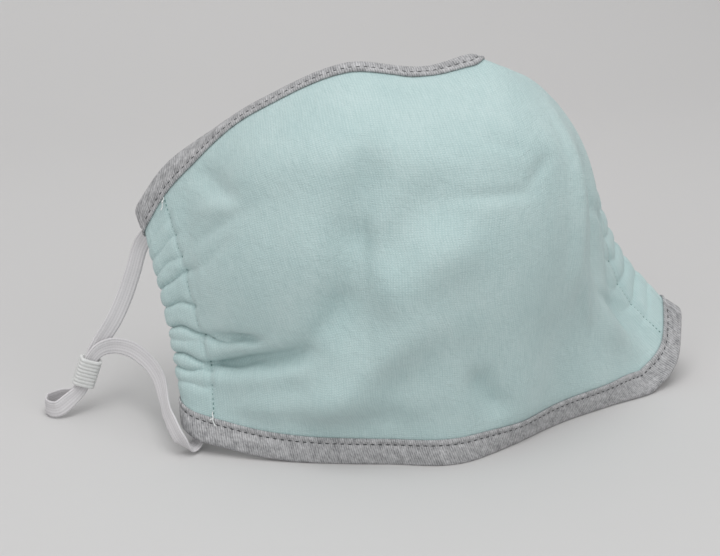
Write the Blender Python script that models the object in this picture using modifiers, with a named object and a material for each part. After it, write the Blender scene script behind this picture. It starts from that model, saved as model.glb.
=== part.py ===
"""Cloth face mask, standing on its chin edge with its hollow behind it.

The mask is one knitted panel with a grey binding along its top edge and one along its
bottom edge. Both side ends are folded back and stitched down as a casing, bindings and
all. A flat elastic ear loop runs through each casing and through a ribbed adjuster.

The front of the mask faces -Y, +X is the wearer's left, +Z is up, and the floor is z = 0.
"""

import math
from dataclasses import dataclass

import bmesh
import bpy
import numpy as np

MM = 0.001

# Driving sizes, in metres.
WIDTH = 0.190            # ear side to ear side of the shaped panel
DEPTH = 0.090            # front to back
HEIGHT = 0.130           # floor to the nose edge
PANEL_WALL = 0.0010      # jersey panel
BINDING_WALL = 0.0010    # folded binding, one leaf
BINDING_WIDTH = 0.0095   # height of a binding's leaf
CASING_WIDTH = 0.0130    # side fold to its stitch line
ELASTIC_WIDTH = 0.0058
ELASTIC_WALL = 0.0010
ADJUSTER_LENGTH = 0.0103
ADJUSTER_WIDTH = 0.0076
ADJUSTER_HEIGHT = 0.0056
ADJUSTER_WALL = 0.0010
ADJUSTER_RIBS = 6
CLEARANCE = 0.0003       # air between touching pieces
LEAF_GAP = 0.00055       # air between the panel and a binding's leaf
SETTLE = 0.0004          # how far the bottom edge is pressed flat by its own weight
PUCKERS = 8              # gathers along each casing
PUCKER_HEIGHT = 0.0006
STITCH_DIP = 0.0005      # how far the casing's stitches pull the cloth in

# Sizes that follow from them.
LEAF_STAND = PANEL_WALL / 2 + LEAF_GAP + BINDING_WALL / 2    # leaf's middle from the panel's
BOUND_HALF = LEAF_STAND + BINDING_WALL / 2                   # half thickness of a bound edge
FREE_HALF = PANEL_WALL / 2
TURN = LEAF_STAND + BINDING_WALL / 2                         # binding's outside to its fold centre
FOLD = BOUND_HALF + CLEARANCE + ELASTIC_WALL / 2 + 0.25 * MM # radius of the side fold
PANEL_EDGE = TURN + 1.2 * MM                                 # binding's outside to the panel's edge
MARGIN = BINDING_WIDTH                                       # panel's row at a leaf's end
LOOP_LINES = {"near": 0.52 * CASING_WIDTH,                    # the elastic's line in a casing
              "far": 0.49 * CASING_WIDTH}

# The panel's ribs, from the right ear side (-1) to the left ear side (+1). x is a share of
# WIDTH, z of HEIGHT, and y and the two bellies of DEPTH. A belly is how far the rib stands
# out of the straight line from foot to head, at one third and at two thirds of the way.
#    across    foot x  foot y  foot z   head x  head y  head z   low     high
SECTIONS = (
    (-1.00,  -0.483, -0.176, 0.062,  -0.528,  0.233, 0.569,   0.000,  0.000),
    (-0.88,  -0.463, -0.240, 0.040,  -0.476,  0.205, 0.681,   0.010,  0.018),
    (-0.75,  -0.404, -0.310, 0.022,  -0.413,  0.160, 0.762,   0.045,  0.085),
    (-0.50,  -0.295, -0.405, 0.002,  -0.294,  0.056, 0.888,   0.125,  0.205),
    (-0.25,  -0.149, -0.494, 0.000,  -0.163, -0.022, 0.977,   0.178,  0.278),
    ( 0.00,  -0.005, -0.550, 0.000,  -0.026, -0.089, 0.969,   0.178,  0.289),
    ( 0.13,   0.089, -0.456, 0.000,   0.053, -0.122, 1.000,   0.172,  0.267),
    ( 0.25,   0.179, -0.351, 0.000,   0.116, -0.078, 0.965,   0.133,  0.256),
    ( 0.50,   0.321, -0.227, 0.000,   0.216,  0.078, 0.862,   0.067,  0.144),
    ( 0.75,   0.432, -0.156, 0.003,   0.284,  0.289, 0.762,  -0.044,  0.056),
    ( 0.88,   0.489, -0.078, 0.062,   0.316,  0.378, 0.708,  -0.030,  0.022),
    ( 1.00,   0.518,  0.056, 0.180,   0.347,  0.467, 0.646,  -0.030,  0.000),
)

# Folds and dents. across and up place the middle on the panel, angle is in degrees from
# the across direction, and half length, half width and height are shares of HEIGHT.
#    across   up    angle  length width  height
FOLDS = (
    (-0.55, 0.52,    0,  0.260, 0.200,  0.030),   # cheek pouch
    (-0.62, 0.285,   4,  0.160, 0.024, -0.026),   # deep crease under the pouch
    (-0.42, 0.33,   38,  0.080, 0.032, -0.016),   # its turn upwards
    (-0.68, 0.375,  -8,  0.090, 0.020, -0.016),   # short crease above it
    (-0.60, 0.235,   5,  0.170, 0.038,  0.011),   # roll below the deep crease
    (-0.22, 0.66, -118,  0.120, 0.062, -0.025),   # long valley, upper part
    (-0.30, 0.47, -108,  0.115, 0.060, -0.030),   # long valley, middle
    (-0.34, 0.37,  -98,  0.070, 0.054, -0.014),   # long valley, foot
    (-0.10, 0.48, -130,  0.120, 0.060,  0.023),   # slanting ridge, upper part
    (-0.30, 0.31, -144,  0.190, 0.060,  0.024),   # slanting ridge, lower part
    (-0.10, 0.60, -120,  0.125, 0.060, -0.020),   # second valley
    ( 0.045, 0.165, -62, 0.070, 0.030, -0.018),   # pinch over the chin
    ( 0.01, 0.24,  104,  0.080, 0.040, -0.007),
    ( 0.06, 0.655, -12,  0.100, 0.030, -0.009),   # crescent dent beside the nose
    ( 0.16, 0.69,   42,  0.070, 0.030, -0.009),
    ( 0.13, 0.76,    0,  0.110, 0.060,  0.009),
    (-0.67, 0.80,  -42,  0.115, 0.026, -0.011),   # creases running in from the casing
    (-0.66, 0.735, -20,  0.095, 0.030,  0.008),
    (-0.66, 0.68,   10,  0.110, 0.026, -0.009),
    (-0.68, 0.605,  26,  0.070, 0.026, -0.007),
    ( 0.32, 0.63,  -96,  0.200, 0.040,  0.012),   # turn to the far cheek
    ( 0.38, 0.38,  -48,  0.125, 0.046,  0.009),
    ( 0.47, 0.55,  -96,  0.185, 0.062, -0.015),
    (-0.06, 0.91, -112,  0.055, 0.024, -0.007),
    (-0.49, 0.17, -118,  0.070, 0.038, -0.008),
    (-0.20, 0.16, -120,  0.080, 0.038, -0.007),
    ( 0.82, 0.28,  -59,  0.140, 0.060,  0.009),   # flare of the far corner
    ( 0.62, 0.34,   -8,  0.120, 0.024, -0.008),   # far casing's creases
    ( 0.66, 0.62,  -16,  0.110, 0.026, -0.008),
)

# Columns along the panel, as the distance from the side fold, in shares of CASING_WIDTH.
FLAP_COLUMNS = (1.15, 0.94, 0.68, 0.42)
FRONT_COLUMNS = (0.42, 0.68, 0.94, 1.15, 1.46, 1.85)
FOLD_ANGLES = (-90, -45, 0, 45, 90)
MIDDLE_COLUMNS = 13
MIDDLE_ROWS = 4 * PUCKERS

# Free part of the ear loop on the right ear side, which lies towards -X: x is a share of
# WIDTH, y of DEPTH and z of HEIGHT, then the way its flat side faces and its width as a
# share of ELASTIC_WIDTH.
#      x       y      z      face x  face y  face z  width
NEAR_LOOP = (
    (-0.459, -0.220, 0.022,   0.51,  0.47, -0.64,  0.78),
    (-0.473, -0.242, 0.015,  -0.20,  0.16, -0.94,  0.82),   # folded tip on the floor
    (-0.491, -0.258, 0.047,  -0.55, -0.80, -0.22,  0.95),
    (-0.503, -0.215, 0.082,  -0.80, -0.55,  0.20,  1.00),
    (-0.507, -0.135, 0.094,  -0.80, -0.55,  0.25,  1.00),
    (-0.506, -0.036, 0.106,  -0.75, -0.60,  0.25,  1.00),
    (-0.510,  0.060, 0.136,  -0.60, -0.75,  0.25,  1.00),
    (-0.528,  0.144, 0.163,  -0.40, -0.90,  0.20,  1.00),
    (-0.556,  0.206, 0.182,  -0.15, -1.00,  0.15,  1.00),
    (-0.584,  0.226, 0.187,   0.05, -1.00,  0.10,  1.00),
    (-0.607,  0.220, 0.180,   0.05, -1.00,  0.10,  0.90),
    (-0.622,  0.216, 0.160,   0.00, -1.00,  0.00,  0.78),   # front strand in the adjuster
    (-0.632,  0.216, 0.120,   0.00, -1.00,  0.00,  0.78),
    (-0.643,  0.216, 0.078,   0.00, -1.00,  0.00,  0.78),
    (-0.668,  0.194, 0.049,  -0.10, -1.00,  0.10,  0.95),
    (-0.693,  0.187, 0.028,  -0.30, -1.00,  0.10,  1.00),
    (-0.710,  0.225, 0.026,  -1.00,  0.00,  0.00,  1.00),   # bight standing on the floor
    (-0.703,  0.285, 0.027,  -0.40,  1.00,  0.00,  1.00),
    (-0.680,  0.268, 0.044,   0.00,  1.00,  0.10,  0.90),
    (-0.653,  0.233, 0.060,   0.00,  1.00,  0.00,  0.78),
    (-0.644,  0.231, 0.078,   0.00,  1.00,  0.00,  0.78),   # rear strand in the adjuster
    (-0.633,  0.232, 0.118,   0.00,  1.00,  0.00,  0.78),
    (-0.622,  0.232, 0.160,   0.00,  1.00,  0.00,  0.78),
    (-0.605,  0.246, 0.195,   0.10,  1.00,  0.00,  0.95),
    (-0.577,  0.262, 0.250,   0.20,  1.00,  0.00,  1.00),
    (-0.555,  0.290, 0.304,   0.30,  1.00,  0.00,  1.00),
    (-0.534,  0.325, 0.370,   0.40,  0.95,  0.00,  1.00),
    (-0.514,  0.358, 0.440,   0.50,  0.85,  0.00,  1.00),
    (-0.492,  0.322, 0.492,   0.55,  0.80,  0.00,  0.95),
)
NEAR_ADJUSTER = (-0.6325, 0.224, 0.119)

# The far ear loop lies on the floor behind the mask, towards +X.
FAR_LOOP = (
    ( 0.480,  0.130, 0.098,   0.50, -0.50, -0.70,  0.95),   # below the casing's mouth
    ( 0.435,  0.235, 0.045,   0.40, -0.40, -0.80,  1.00),
    ( 0.365,  0.395, 0.018,   0.15, -0.15, -1.00,  1.00),
    ( 0.290,  0.540, 0.018,   0.00,  0.00, -1.00,  0.90),
    ( 0.245,  0.590, 0.020,   0.00,  0.00, -1.00,  0.78),   # lower strand in the adjuster
    ( 0.218,  0.590, 0.020,   0.00,  0.00, -1.00,  0.78),
    ( 0.191,  0.590, 0.020,   0.00,  0.00, -1.00,  0.78),
    ( 0.160,  0.590, 0.012,   0.00,  0.00, -1.00,  0.95),
    ( 0.132,  0.590, 0.028,  -1.00,  0.00,  0.00,  1.00),   # bight
    ( 0.160,  0.590, 0.046,   0.00,  0.00,  1.00,  0.95),
    ( 0.191,  0.590, 0.031,   0.00,  0.00,  1.00,  0.78),   # upper strand in the adjuster
    ( 0.218,  0.590, 0.031,   0.00,  0.00,  1.00,  0.78),
    ( 0.245,  0.590, 0.031,   0.00,  0.00,  1.00,  0.78),
    ( 0.285,  0.620, 0.045,  -0.10,  0.10,  1.00,  0.95),
    ( 0.330,  0.660, 0.110,  -0.60,  0.50,  0.60,  1.00),
    ( 0.350,  0.660, 0.220,  -0.75,  0.65,  0.10,  1.00),
    ( 0.350,  0.630, 0.340,  -0.75,  0.65,  0.00,  1.00),
    ( 0.343,  0.590, 0.430,  -0.75,  0.65,  0.00,  1.00),
)
FAR_ADJUSTER = (0.218, 0.590, 0.0255)

LOOP_STATIONS = 80
CASING_STOPS = (0.41, 0.34, 0.27, 0.20)   # the elastic's points inside, as shares of a rib
MOUTH_WIDTH = 0.64                        # share of ELASTIC_WIDTH inside a casing
ARCH_ROOM = 0.0003                        # more air round a bound edge
RIB_STATIONS = 129
RIB_STEPS = 81


def curve_through(xs, ys, x):
    """Smooth curve through the points (xs, ys), read at x."""
    slope = np.gradient(ys, xs)
    i = np.clip(np.searchsorted(xs, x) - 1, 0, len(xs) - 2)
    gap = xs[i + 1] - xs[i]
    f = (x - xs[i]) / gap
    f2, f3 = f * f, f * f * f
    return ((2 * f3 - 3 * f2 + 1) * ys[i] + (f3 - 2 * f2 + f) * gap * slope[i]
            + (3 * f2 - 2 * f3) * ys[i + 1] + (f3 - f2) * gap * slope[i + 1])


def ease(t):
    """Smooth step from 0 to 1 as t goes from 0 to 1."""
    t = np.clip(t, 0.0, 1.0)
    return t * t * (3 - 2 * t)


def unit(vectors):
    """Vectors scaled to length one along the last axis."""
    size = np.linalg.norm(vectors, axis=-1, keepdims=True)
    return vectors / np.maximum(size, 1e-12)


def fold_height(across, up):
    """Height of all folds and dents together, at a place on the panel."""
    height = np.zeros(np.broadcast(across, up).shape)
    for mid, rise, angle, length, width, tall in FOLDS:
        x = (across - mid) * WIDTH * 0.63
        y = (up - rise) * HEIGHT
        turn = math.radians(angle)
        along = (x * math.cos(turn) + y * math.sin(turn)) / (length * HEIGHT)
        beside = (y * math.cos(turn) - x * math.sin(turn)) / (width * HEIGHT)
        height += tall * HEIGHT * np.exp(-along ** 4 - beside ** 2)
    return (height * ease((up - 0.06) / 0.09) * ease((0.94 - up) / 0.08)
            * ease((0.85 - np.abs(across)) / 0.10))


def shaped_panel(across, up):
    """Points of the panel's outer form, without folds: across -1..1, up 0..1."""
    table = np.array(SECTIONS)
    knots = table[:, 0]
    read = [curve_through(knots, table[:, k], across) for k in range(1, 9)]
    foot = np.stack([read[0] * WIDTH, read[1] * DEPTH,
                     np.maximum(read[2], 0.0) * HEIGHT - SETTLE], -1)
    head = np.stack([read[3] * WIDTH, read[4] * DEPTH, read[5] * HEIGHT], -1)
    step = 1e-3
    ahead, behind = (
        [(curve_through(knots, table[:, k], across + shift) * WIDTH,
          curve_through(knots, table[:, k + 1], across + shift) * DEPTH)
         for k in (1, 4)] for shift in (step, -step))
    run_x = sum(a[0] - b[0] for a, b in zip(ahead, behind))
    run_y = sum(a[1] - b[1] for a, b in zip(ahead, behind))
    out = unit(np.stack([run_y, -run_x, 0 * run_x], -1))
    chord = head - foot
    line = unit(chord)
    out = unit(out - line * (out * line).sum(-1, keepdims=True))
    low = foot + chord / 3 + out * (read[6] * DEPTH)[..., None]
    high = foot + chord * 2 / 3 + out * (read[7] * DEPTH)[..., None]
    leaning = unit(head - 5.5 * foot + 9 * low - 4.5 * high)[..., 2]
    foot[..., 2] += TURN * (1 - leaning)
    t = up[..., None]
    return (-4.5 * (t - 1 / 3) * (t - 2 / 3) * (t - 1) * foot
            + 13.5 * t * (t - 2 / 3) * (t - 1) * low
            - 13.5 * t * (t - 1 / 3) * (t - 1) * high
            + 4.5 * t * (t - 1 / 3) * (t - 2 / 3) * head)


def grid_normals(points):
    """Outward normals of a grid of points, first axis across and second axis up."""
    return unit(np.cross(np.gradient(points, axis=0), np.gradient(points, axis=1)))


class Cloth:
    """The panel as ribs from foot to head, read by length along the cloth."""

    def __init__(self):
        across, up = np.meshgrid(np.linspace(-1, 1, RIB_STATIONS),
                                 np.linspace(0, 1, RIB_STEPS), indexing="ij")
        smooth = shaped_panel(across, up)
        raised = fold_height(across, up)[..., None]
        self.points = smooth + grid_normals(smooth) * raised
        self.normals = grid_normals(self.points)
        steps = np.linalg.norm(np.diff(self.points, axis=1), axis=-1)
        self.reach = np.concatenate([np.zeros((RIB_STATIONS, 1)), np.cumsum(steps, 1)], 1)
        self.length = self.reach[:, -1]
        self.slopes = {side: (self._slope(side, 0), self._slope(side, -1))
                       for side in ("near", "far")}

    def _slope(self, side, edge):
        """How steeply an edge runs along the rib at one corner, which sets the flap's shape."""
        end, inner = (0, 6) if side == "near" else (-1, -7)
        rib = self.points[end, -1] - self.points[end, 0]
        rib = unit(rib) * (1 if edge == 0 else -1)
        run = self.points[inner, edge] - self.points[end, edge]
        along = -float(run @ rib)
        beside = math.sqrt(max(float(run @ run) - along ** 2, 1e-12))
        return float(np.clip(along / beside, 0.15, 0.30))

    def depths(self, edge, value, lift=0.0, drop=0.0):
        """Length up every rib of one row; lift and drop shorten the rib at its ends."""
        top = self.length - drop
        if edge == "foot":
            return lift + value + 0 * top
        if edge == "head":
            return top - value
        return lift + MARGIN + value * (top - lift - 2 * MARGIN)

    def read(self, depth):
        """Points and normals of every rib at its own depth."""
        points, normals = np.empty((RIB_STATIONS, 3)), np.empty((RIB_STATIONS, 3))
        for i in range(RIB_STATIONS):
            for k in range(3):
                points[i, k] = np.interp(depth[i], self.reach[i], self.points[i, :, k])
                normals[i, k] = np.interp(depth[i], self.reach[i], self.normals[i, :, k])
        return points, unit(normals)


@dataclass
class Column:
    """One column of the sheet: a layer of a casing, its fold, or the open middle."""

    layer: str
    side: str = ""
    away: float = 0.0     # distance from the side fold, or share of the middle
    angle: float = 90.0   # round the fold: 90 is the front, -90 the flap


def sheet_columns():
    """All columns from the near flap's end round to the far flap's end."""
    near = [Column("flap", "near", share * CASING_WIDTH) for share in FLAP_COLUMNS]
    near += [Column("fold", "near", angle=angle) for angle in FOLD_ANGLES]
    near += [Column("front", "near", share * CASING_WIDTH) for share in FRONT_COLUMNS]
    middle = [Column("middle", away=(i + 1) / (MIDDLE_COLUMNS + 1))
              for i in range(MIDDLE_COLUMNS)]
    far = [Column(c.layer, "far", c.away, c.angle) for c in reversed(near)]
    return near + middle + far


def hollow_half(away, bound):
    """Half the height of a casing's hollow, between the middles of its two layers."""
    ends = FREE_HALF * (1 - bound) + BOUND_HALF * bound + CLEARANCE / 2
    ends += (STITCH_DIP + PUCKER_HEIGHT / 2) / 2 * (1 - bound)
    closing = ease((away / CASING_WIDTH - 0.68) / 0.26)
    return FOLD + (ends - FOLD) * closing


class Row:
    """One row of the cloth, at a fixed height from an edge or at a share of the ribs."""

    def __init__(self, cloth, edge, value):
        self.points, self.normals = cloth.read(cloth.depths(edge, value))
        steps = np.linalg.norm(np.diff(self.points, axis=0), axis=-1)
        run = np.concatenate([[0.0], np.cumsum(steps)])
        self.length = run[-1]
        self.run = {"near": run, "far": self.length - run}
        self.flap = {}
        for side, reach in self.run.items():
            low, high = cloth.slopes[side]
            self.flap[side] = cloth.read(cloth.depths(edge, value, 2 * low * reach,
                                                      2 * high * reach))
        free = cloth.length[0] - 2 * MARGIN
        nearest = min(value, 1 - value) * free if edge == "middle" else 0.0
        self.bound = float(1 - ease(nearest / (8 * MM)))
        wave = math.cos(2 * math.pi * PUCKERS * value) if edge == "middle" else 0.0
        self.pucker = PUCKER_HEIGHT * wave * (1 - self.bound)

    def read_at(self, side, away, arrays):
        """Values of the row at a distance from one side, straight on past its end."""
        run = self.run[side]
        if side == "far":
            run, arrays = run[::-1], [a[::-1] for a in arrays]
        found = []
        for values in arrays:
            at = np.array([np.interp(away, run, values[:, k]) for k in range(3)])
            if away < 0:
                at += (values[1] - values[0]) / (run[1] - run[0]) * away
            found.append(at)
        return found

    def place(self, column, offset):
        """Point of the row on a column, standing off the cloth's middle by offset."""
        if column.layer == "middle":
            low = FRONT_COLUMNS[-1] * CASING_WIDTH
            away = low + column.away * (self.length - 2 * low)
            point, normal = self.read_at("near", away, (self.points, self.normals))
            return point + unit(normal) * offset
        lean, rise = 0.0, 1.0
        if column.layer == "fold":
            turn = math.radians(column.angle)
            lean, rise = -math.cos(turn), math.sin(turn)
            away, stand = FOLD + FOLD * lean, -FOLD + FOLD * rise
            swell = self.pucker * (0.55 + 0.45 * rise)
        else:
            away = column.away
            dip = math.exp(-((away / CASING_WIDTH - 0.92) / 0.16) ** 2)
            stand = -STITCH_DIP * dip * (1 - self.bound)
            swell = self.pucker * (1 - 0.45 * dip)
            if away > CASING_WIDTH:
                swell *= math.exp(-(away / CASING_WIDTH - 1) / 0.55)
        if column.layer == "flap":
            step = 0.1 * MM
            half = hollow_half(away, self.bound)
            slope = (hollow_half(away + step, self.bound) - half) / step
            size = math.hypot(1.0, 2 * slope)
            lean, rise = -2 * slope / size, -1 / size
            stand, swell = -2 * half, 0.0
        away += lean * (offset + swell)
        stand += rise * (offset + swell)
        back = column.layer == "flap" or (column.layer == "fold" and column.angle < 0)
        arrays = self.flap[column.side] if back else (self.points, self.normals)
        point, normal = self.read_at(column.side, away, arrays)
        return point + unit(normal) * stand


def sheet_object(name, points, wall, material, group, around=False):
    """A shell of one wall thickness over a grid of points, rows by columns."""
    rows, columns = points.shape[:2]
    mesh = bpy.data.meshes.new(name)
    bm = bmesh.new()
    bmesh.ops.create_grid(bm, x_segments=columns - 1, y_segments=rows - 1, size=1.0)
    for vert in bm.verts:
        i = round((vert.co.y + 1) / 2 * (rows - 1))
        j = round((vert.co.x + 1) / 2 * (columns - 1))
        vert.co = points[i, j]
    if around:
        bmesh.ops.remove_doubles(bm, verts=bm.verts, dist=1e-6)
    bm.to_mesh(mesh)
    bm.free()
    mesh.shade_smooth()
    mesh.materials.append(material)
    obj = bpy.data.objects.new(name, mesh)
    group.objects.link(obj)
    shell = obj.modifiers.new("Wall", "SOLIDIFY")
    shell.thickness = wall
    shell.offset = 0.0
    shell.use_even_offset = True
    shell.use_quality_normals = True
    return obj


def panel_points(cloth, columns):
    """Grid of the panel: margin rows under the bindings and even rows between them."""
    margins = (PANEL_EDGE, BINDING_WIDTH / 2, MARGIN)
    rows = [Row(cloth, "foot", value) for value in margins]
    rows += [Row(cloth, "middle", i / MIDDLE_ROWS) for i in range(1, MIDDLE_ROWS)]
    rows += [Row(cloth, "head", value) for value in reversed(margins)]
    return np.array([[row.place(column, 0.0) for column in columns] for row in rows])


def binding_points(cloth, columns, edge):
    """Grid of a binding: front leaf, turn round the cloth's edge, back leaf."""
    profile = [(BINDING_WIDTH, 90), (BINDING_WIDTH / 2, 90), (TURN, 90)]
    profile += [(TURN - LEAF_STAND * math.cos(math.radians(a)), a) for a in (45, 0, -45)]
    profile += [(TURN, -90), (BINDING_WIDTH / 2, -90), (BINDING_WIDTH, -90)]
    grid = []
    for depth, angle in profile:
        row = Row(cloth, edge, depth)
        stand = LEAF_STAND * math.sin(math.radians(angle))
        grid.append([row.place(column, stand) for column in columns])
    points = np.array(grid)
    if edge == "foot":
        points[..., 2] = np.maximum(points[..., 2], BINDING_WALL / 2)
    return points


def casing_point(cloth, side, edge, stop):
    """Elastic's point and face round a bound edge: where its centre lies, and the angle."""
    depth, stand, reach, angle = stop
    turn = math.radians(angle)
    depth -= reach * math.cos(turn)
    here, above = Row(cloth, edge, max(depth, 0.0)), Row(cloth, edge, max(depth, 0.0) + MM)
    line = LOOP_LINES[side]
    point, normal = here.read_at(side, line, (here.points, here.normals))
    outward = unit(point - above.read_at(side, line, (above.points,))[0])
    normal = unit(normal)
    point = point + outward * max(-depth, 0.0)
    face = normal * math.sin(turn) + outward * math.cos(turn)
    return point + normal * (stand + reach * math.sin(turn)), face, MOUTH_WIDTH


def flap_stops(cloth, side, edge):
    """Stops up the casing's hollow and round the edge of its flap to behind the mask."""
    slope = cloth.slopes[side][0 if edge == "foot" else 1]
    mouth = 2 * slope * (LOOP_LINES[side] - ELASTIC_WIDTH / 2) + TURN
    stand, reach = -2 * FOLD - ARCH_ROOM, FOLD + ARCH_ROOM
    stops = [(share * float(cloth.length[8]), stand, reach, 90) for share in CASING_STOPS]
    stops += [(mouth + 3 * MM, stand, reach, 90)]
    stops += [(mouth, stand, reach, angle) for angle in (90, 45, 0, -45, -90)]
    return stops + [(mouth + 4 * MM, stand, reach, -90)]


def rim_stops(cloth):
    """Stops down the near casing's hollow and in under the front layer's bound edge."""
    stops = [(share * float(cloth.length[8]), 0.0, FOLD, -90) for share in CASING_STOPS]
    return stops + [(TURN + rise * MM, 0.0, FOLD, -90) for rise in (6, 3, 0)]


def loop_route(cloth, side, table):
    """The ear loop's points, faces and widths from its start in the casing to its end."""
    if side == "near":
        start = rim_stops(cloth)
    else:
        start = flap_stops(cloth, side, "foot")[:len(CASING_STOPS) + 4]
    head = flap_stops(cloth, side, "head")[::-1]
    free = [(np.array([x * WIDTH, y * DEPTH, z * HEIGHT]), np.array([fx, fy, fz]), width)
            for x, y, z, fx, fy, fz, width in table]
    return ([casing_point(cloth, side, "foot", stop) for stop in start] + free
            + [casing_point(cloth, side, "head", stop) for stop in head])


def ribbon_points(route, stations):
    """Grid of a flat band, three points wide, along a smooth curve through its route."""
    points = np.array([r[0] for r in route])
    faces = unit(np.array([r[1] for r in route]))
    widths = np.array([r[2] for r in route])
    knots = np.concatenate([[0.0], np.cumsum(np.linalg.norm(np.diff(points, axis=0), axis=1))])
    fine = np.linspace(0, knots[-1], 12 * stations)
    line = np.stack([curve_through(knots, points[:, k], fine) for k in range(3)], -1)
    run = np.concatenate([[0.0], np.cumsum(np.linalg.norm(np.diff(line, axis=0), axis=1))])
    even = np.interp(np.linspace(0, run[-1], stations), run, fine)
    line = np.stack([curve_through(knots, points[:, k], even) for k in range(3)], -1)
    face = unit(np.stack([np.interp(even, knots, faces[:, k]) for k in range(3)], -1))
    width = np.interp(even, knots, widths) * ELASTIC_WIDTH / 2
    along = unit(np.gradient(line, axis=0))
    beside = unit(np.cross(along, face)) * width[:, None]
    return np.stack([line - beside, line + beside], 1), float(run[-1])


def adjuster_points(centre, axis, face):
    """Grid of a ribbed tube with a rounded rectangular section, open at both ends."""
    axis = unit(np.array(axis, float))
    face = unit(np.array(face, float) - axis * float(np.dot(axis, face)))
    beside = np.cross(face, axis)
    rings = 2 * ADJUSTER_RIBS + 1
    grid = []
    for i in range(rings):
        swell = 0.25 * MM if i % 2 else 0.0
        shift = axis * ADJUSTER_LENGTH * (i / (rings - 1) - 0.5)
        ring = []
        for k in range(13):
            turn = 2 * math.pi * k / 12
            c, s = math.cos(turn), math.sin(turn)
            x = math.copysign(abs(c) ** 0.5, c) * ((ADJUSTER_WIDTH - ADJUSTER_WALL) / 2 + swell)
            y = math.copysign(abs(s) ** 0.5, s) * ((ADJUSTER_HEIGHT - ADJUSTER_WALL) / 2 + swell)
            ring.append(centre + shift + beside * x + face * y)
        ring[12] = ring[0]
        grid.append(ring)
    return np.array(grid)


def surface_material(name, colour, roughness):
    """Plain dielectric material with one colour."""
    material = bpy.data.materials.new(name)
    material.use_nodes = True
    shader = material.node_tree.nodes["Principled BSDF"]
    shader.inputs["Base Color"].default_value = (*colour, 1.0)
    shader.inputs["Roughness"].default_value = roughness
    shader.inputs["Metallic"].default_value = 0.0
    return material


def main():
    for obj in list(bpy.data.objects):
        bpy.data.objects.remove(obj, do_unlink=True)
    group = bpy.data.collections.new("cloth_face_mask")
    bpy.context.scene.collection.children.link(group)

    knit = surface_material("mint_jersey", (0.43, 0.60, 0.58), 0.9)
    heather = surface_material("grey_heather_knit", (0.32, 0.32, 0.33), 0.9)
    elastic = surface_material("white_elastic", (0.72, 0.71, 0.72), 0.8)
    silicone = surface_material("white_silicone", (0.75, 0.76, 0.75), 0.5)

    cloth = Cloth()
    columns = sheet_columns()
    pieces = [
        sheet_object("mask_panel", panel_points(cloth, columns), PANEL_WALL, knit, group),
        sheet_object("top_binding", binding_points(cloth, columns, "head"),
                     BINDING_WALL, heather, group),
        sheet_object("bottom_binding", binding_points(cloth, columns, "foot"),
                     BINDING_WALL, heather, group),
    ]
    bpy.context.view_layer.update()
    graph = bpy.context.evaluated_depsgraph_get()
    corners = np.array([v.co for piece in pieces
                        for v in piece.evaluated_get(graph).data.vertices])
    low, high = corners.min(0), corners.max(0)

    loops = (("ear_loop_right", "near", NEAR_LOOP), ("ear_loop_left", "far", FAR_LOOP))
    for name, side, table in loops:
        grid, length = ribbon_points(loop_route(cloth, side, table), LOOP_STATIONS)
        pieces.append(sheet_object(name, grid, ELASTIC_WALL, elastic, group))
        print(name, "length", round(length, 4))
    adjusters = (("adjuster_right", NEAR_ADJUSTER, (0.35, 0.0, 0.94), (0, -1, 0)),
                 ("adjuster_left", FAR_ADJUSTER, (1, 0, 0), (0, 0, 1)))
    for name, place, axis, face in adjusters:
        centre = np.array(place) * (WIDTH, DEPTH, HEIGHT)
        pieces.append(sheet_object(name, adjuster_points(centre, axis, face),
                                   ADJUSTER_WALL, silicone, group, around=True))

    base = bpy.data.objects.new("mask_base", None)
    base.location = (-(low[0] + high[0]) / 2, -(low[1] + high[1]) / 2, -low[2])
    group.objects.link(base)
    for piece in pieces:
        piece.parent = base
    print("base", tuple(round(v, 5) for v in base.location), "size", high - low)


if __name__ == "__main__":
    main()
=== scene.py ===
"""Dressed scene of a cloth face mask that stands on its chin edge, hollow side behind.

The cloth is drawn again over the frame's solids from the same driving sizes, with its gathers,
creases and stitches. Lengths are metres unless a name says millimetres, -Y is the mask's front,
+X the wearer's left, and the floor is z = 0.
"""

import logging
import math
from dataclasses import dataclass, field
from enum import Enum

import bmesh
import bpy
import numpy as np
from mathutils import Matrix, Vector


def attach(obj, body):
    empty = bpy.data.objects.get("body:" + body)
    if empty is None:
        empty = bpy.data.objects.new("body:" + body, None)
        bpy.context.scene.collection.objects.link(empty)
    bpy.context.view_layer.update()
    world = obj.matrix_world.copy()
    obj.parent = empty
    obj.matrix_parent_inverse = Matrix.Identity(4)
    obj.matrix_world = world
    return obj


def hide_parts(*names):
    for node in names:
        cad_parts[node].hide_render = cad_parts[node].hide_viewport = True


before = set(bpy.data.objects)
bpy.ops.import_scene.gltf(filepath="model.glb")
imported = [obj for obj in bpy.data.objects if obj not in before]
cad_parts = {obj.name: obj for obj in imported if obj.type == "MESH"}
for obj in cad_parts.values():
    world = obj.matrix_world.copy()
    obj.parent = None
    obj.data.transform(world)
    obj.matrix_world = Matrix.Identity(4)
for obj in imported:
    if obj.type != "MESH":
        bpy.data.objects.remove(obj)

log = logging.getLogger("mask")
Array = np.ndarray
Stop = tuple[float, float, float, float]
MM = 0.001
WAVE_PERIOD = math.pi / 10       # length of one band of a wave texture whose scale is 1

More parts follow.
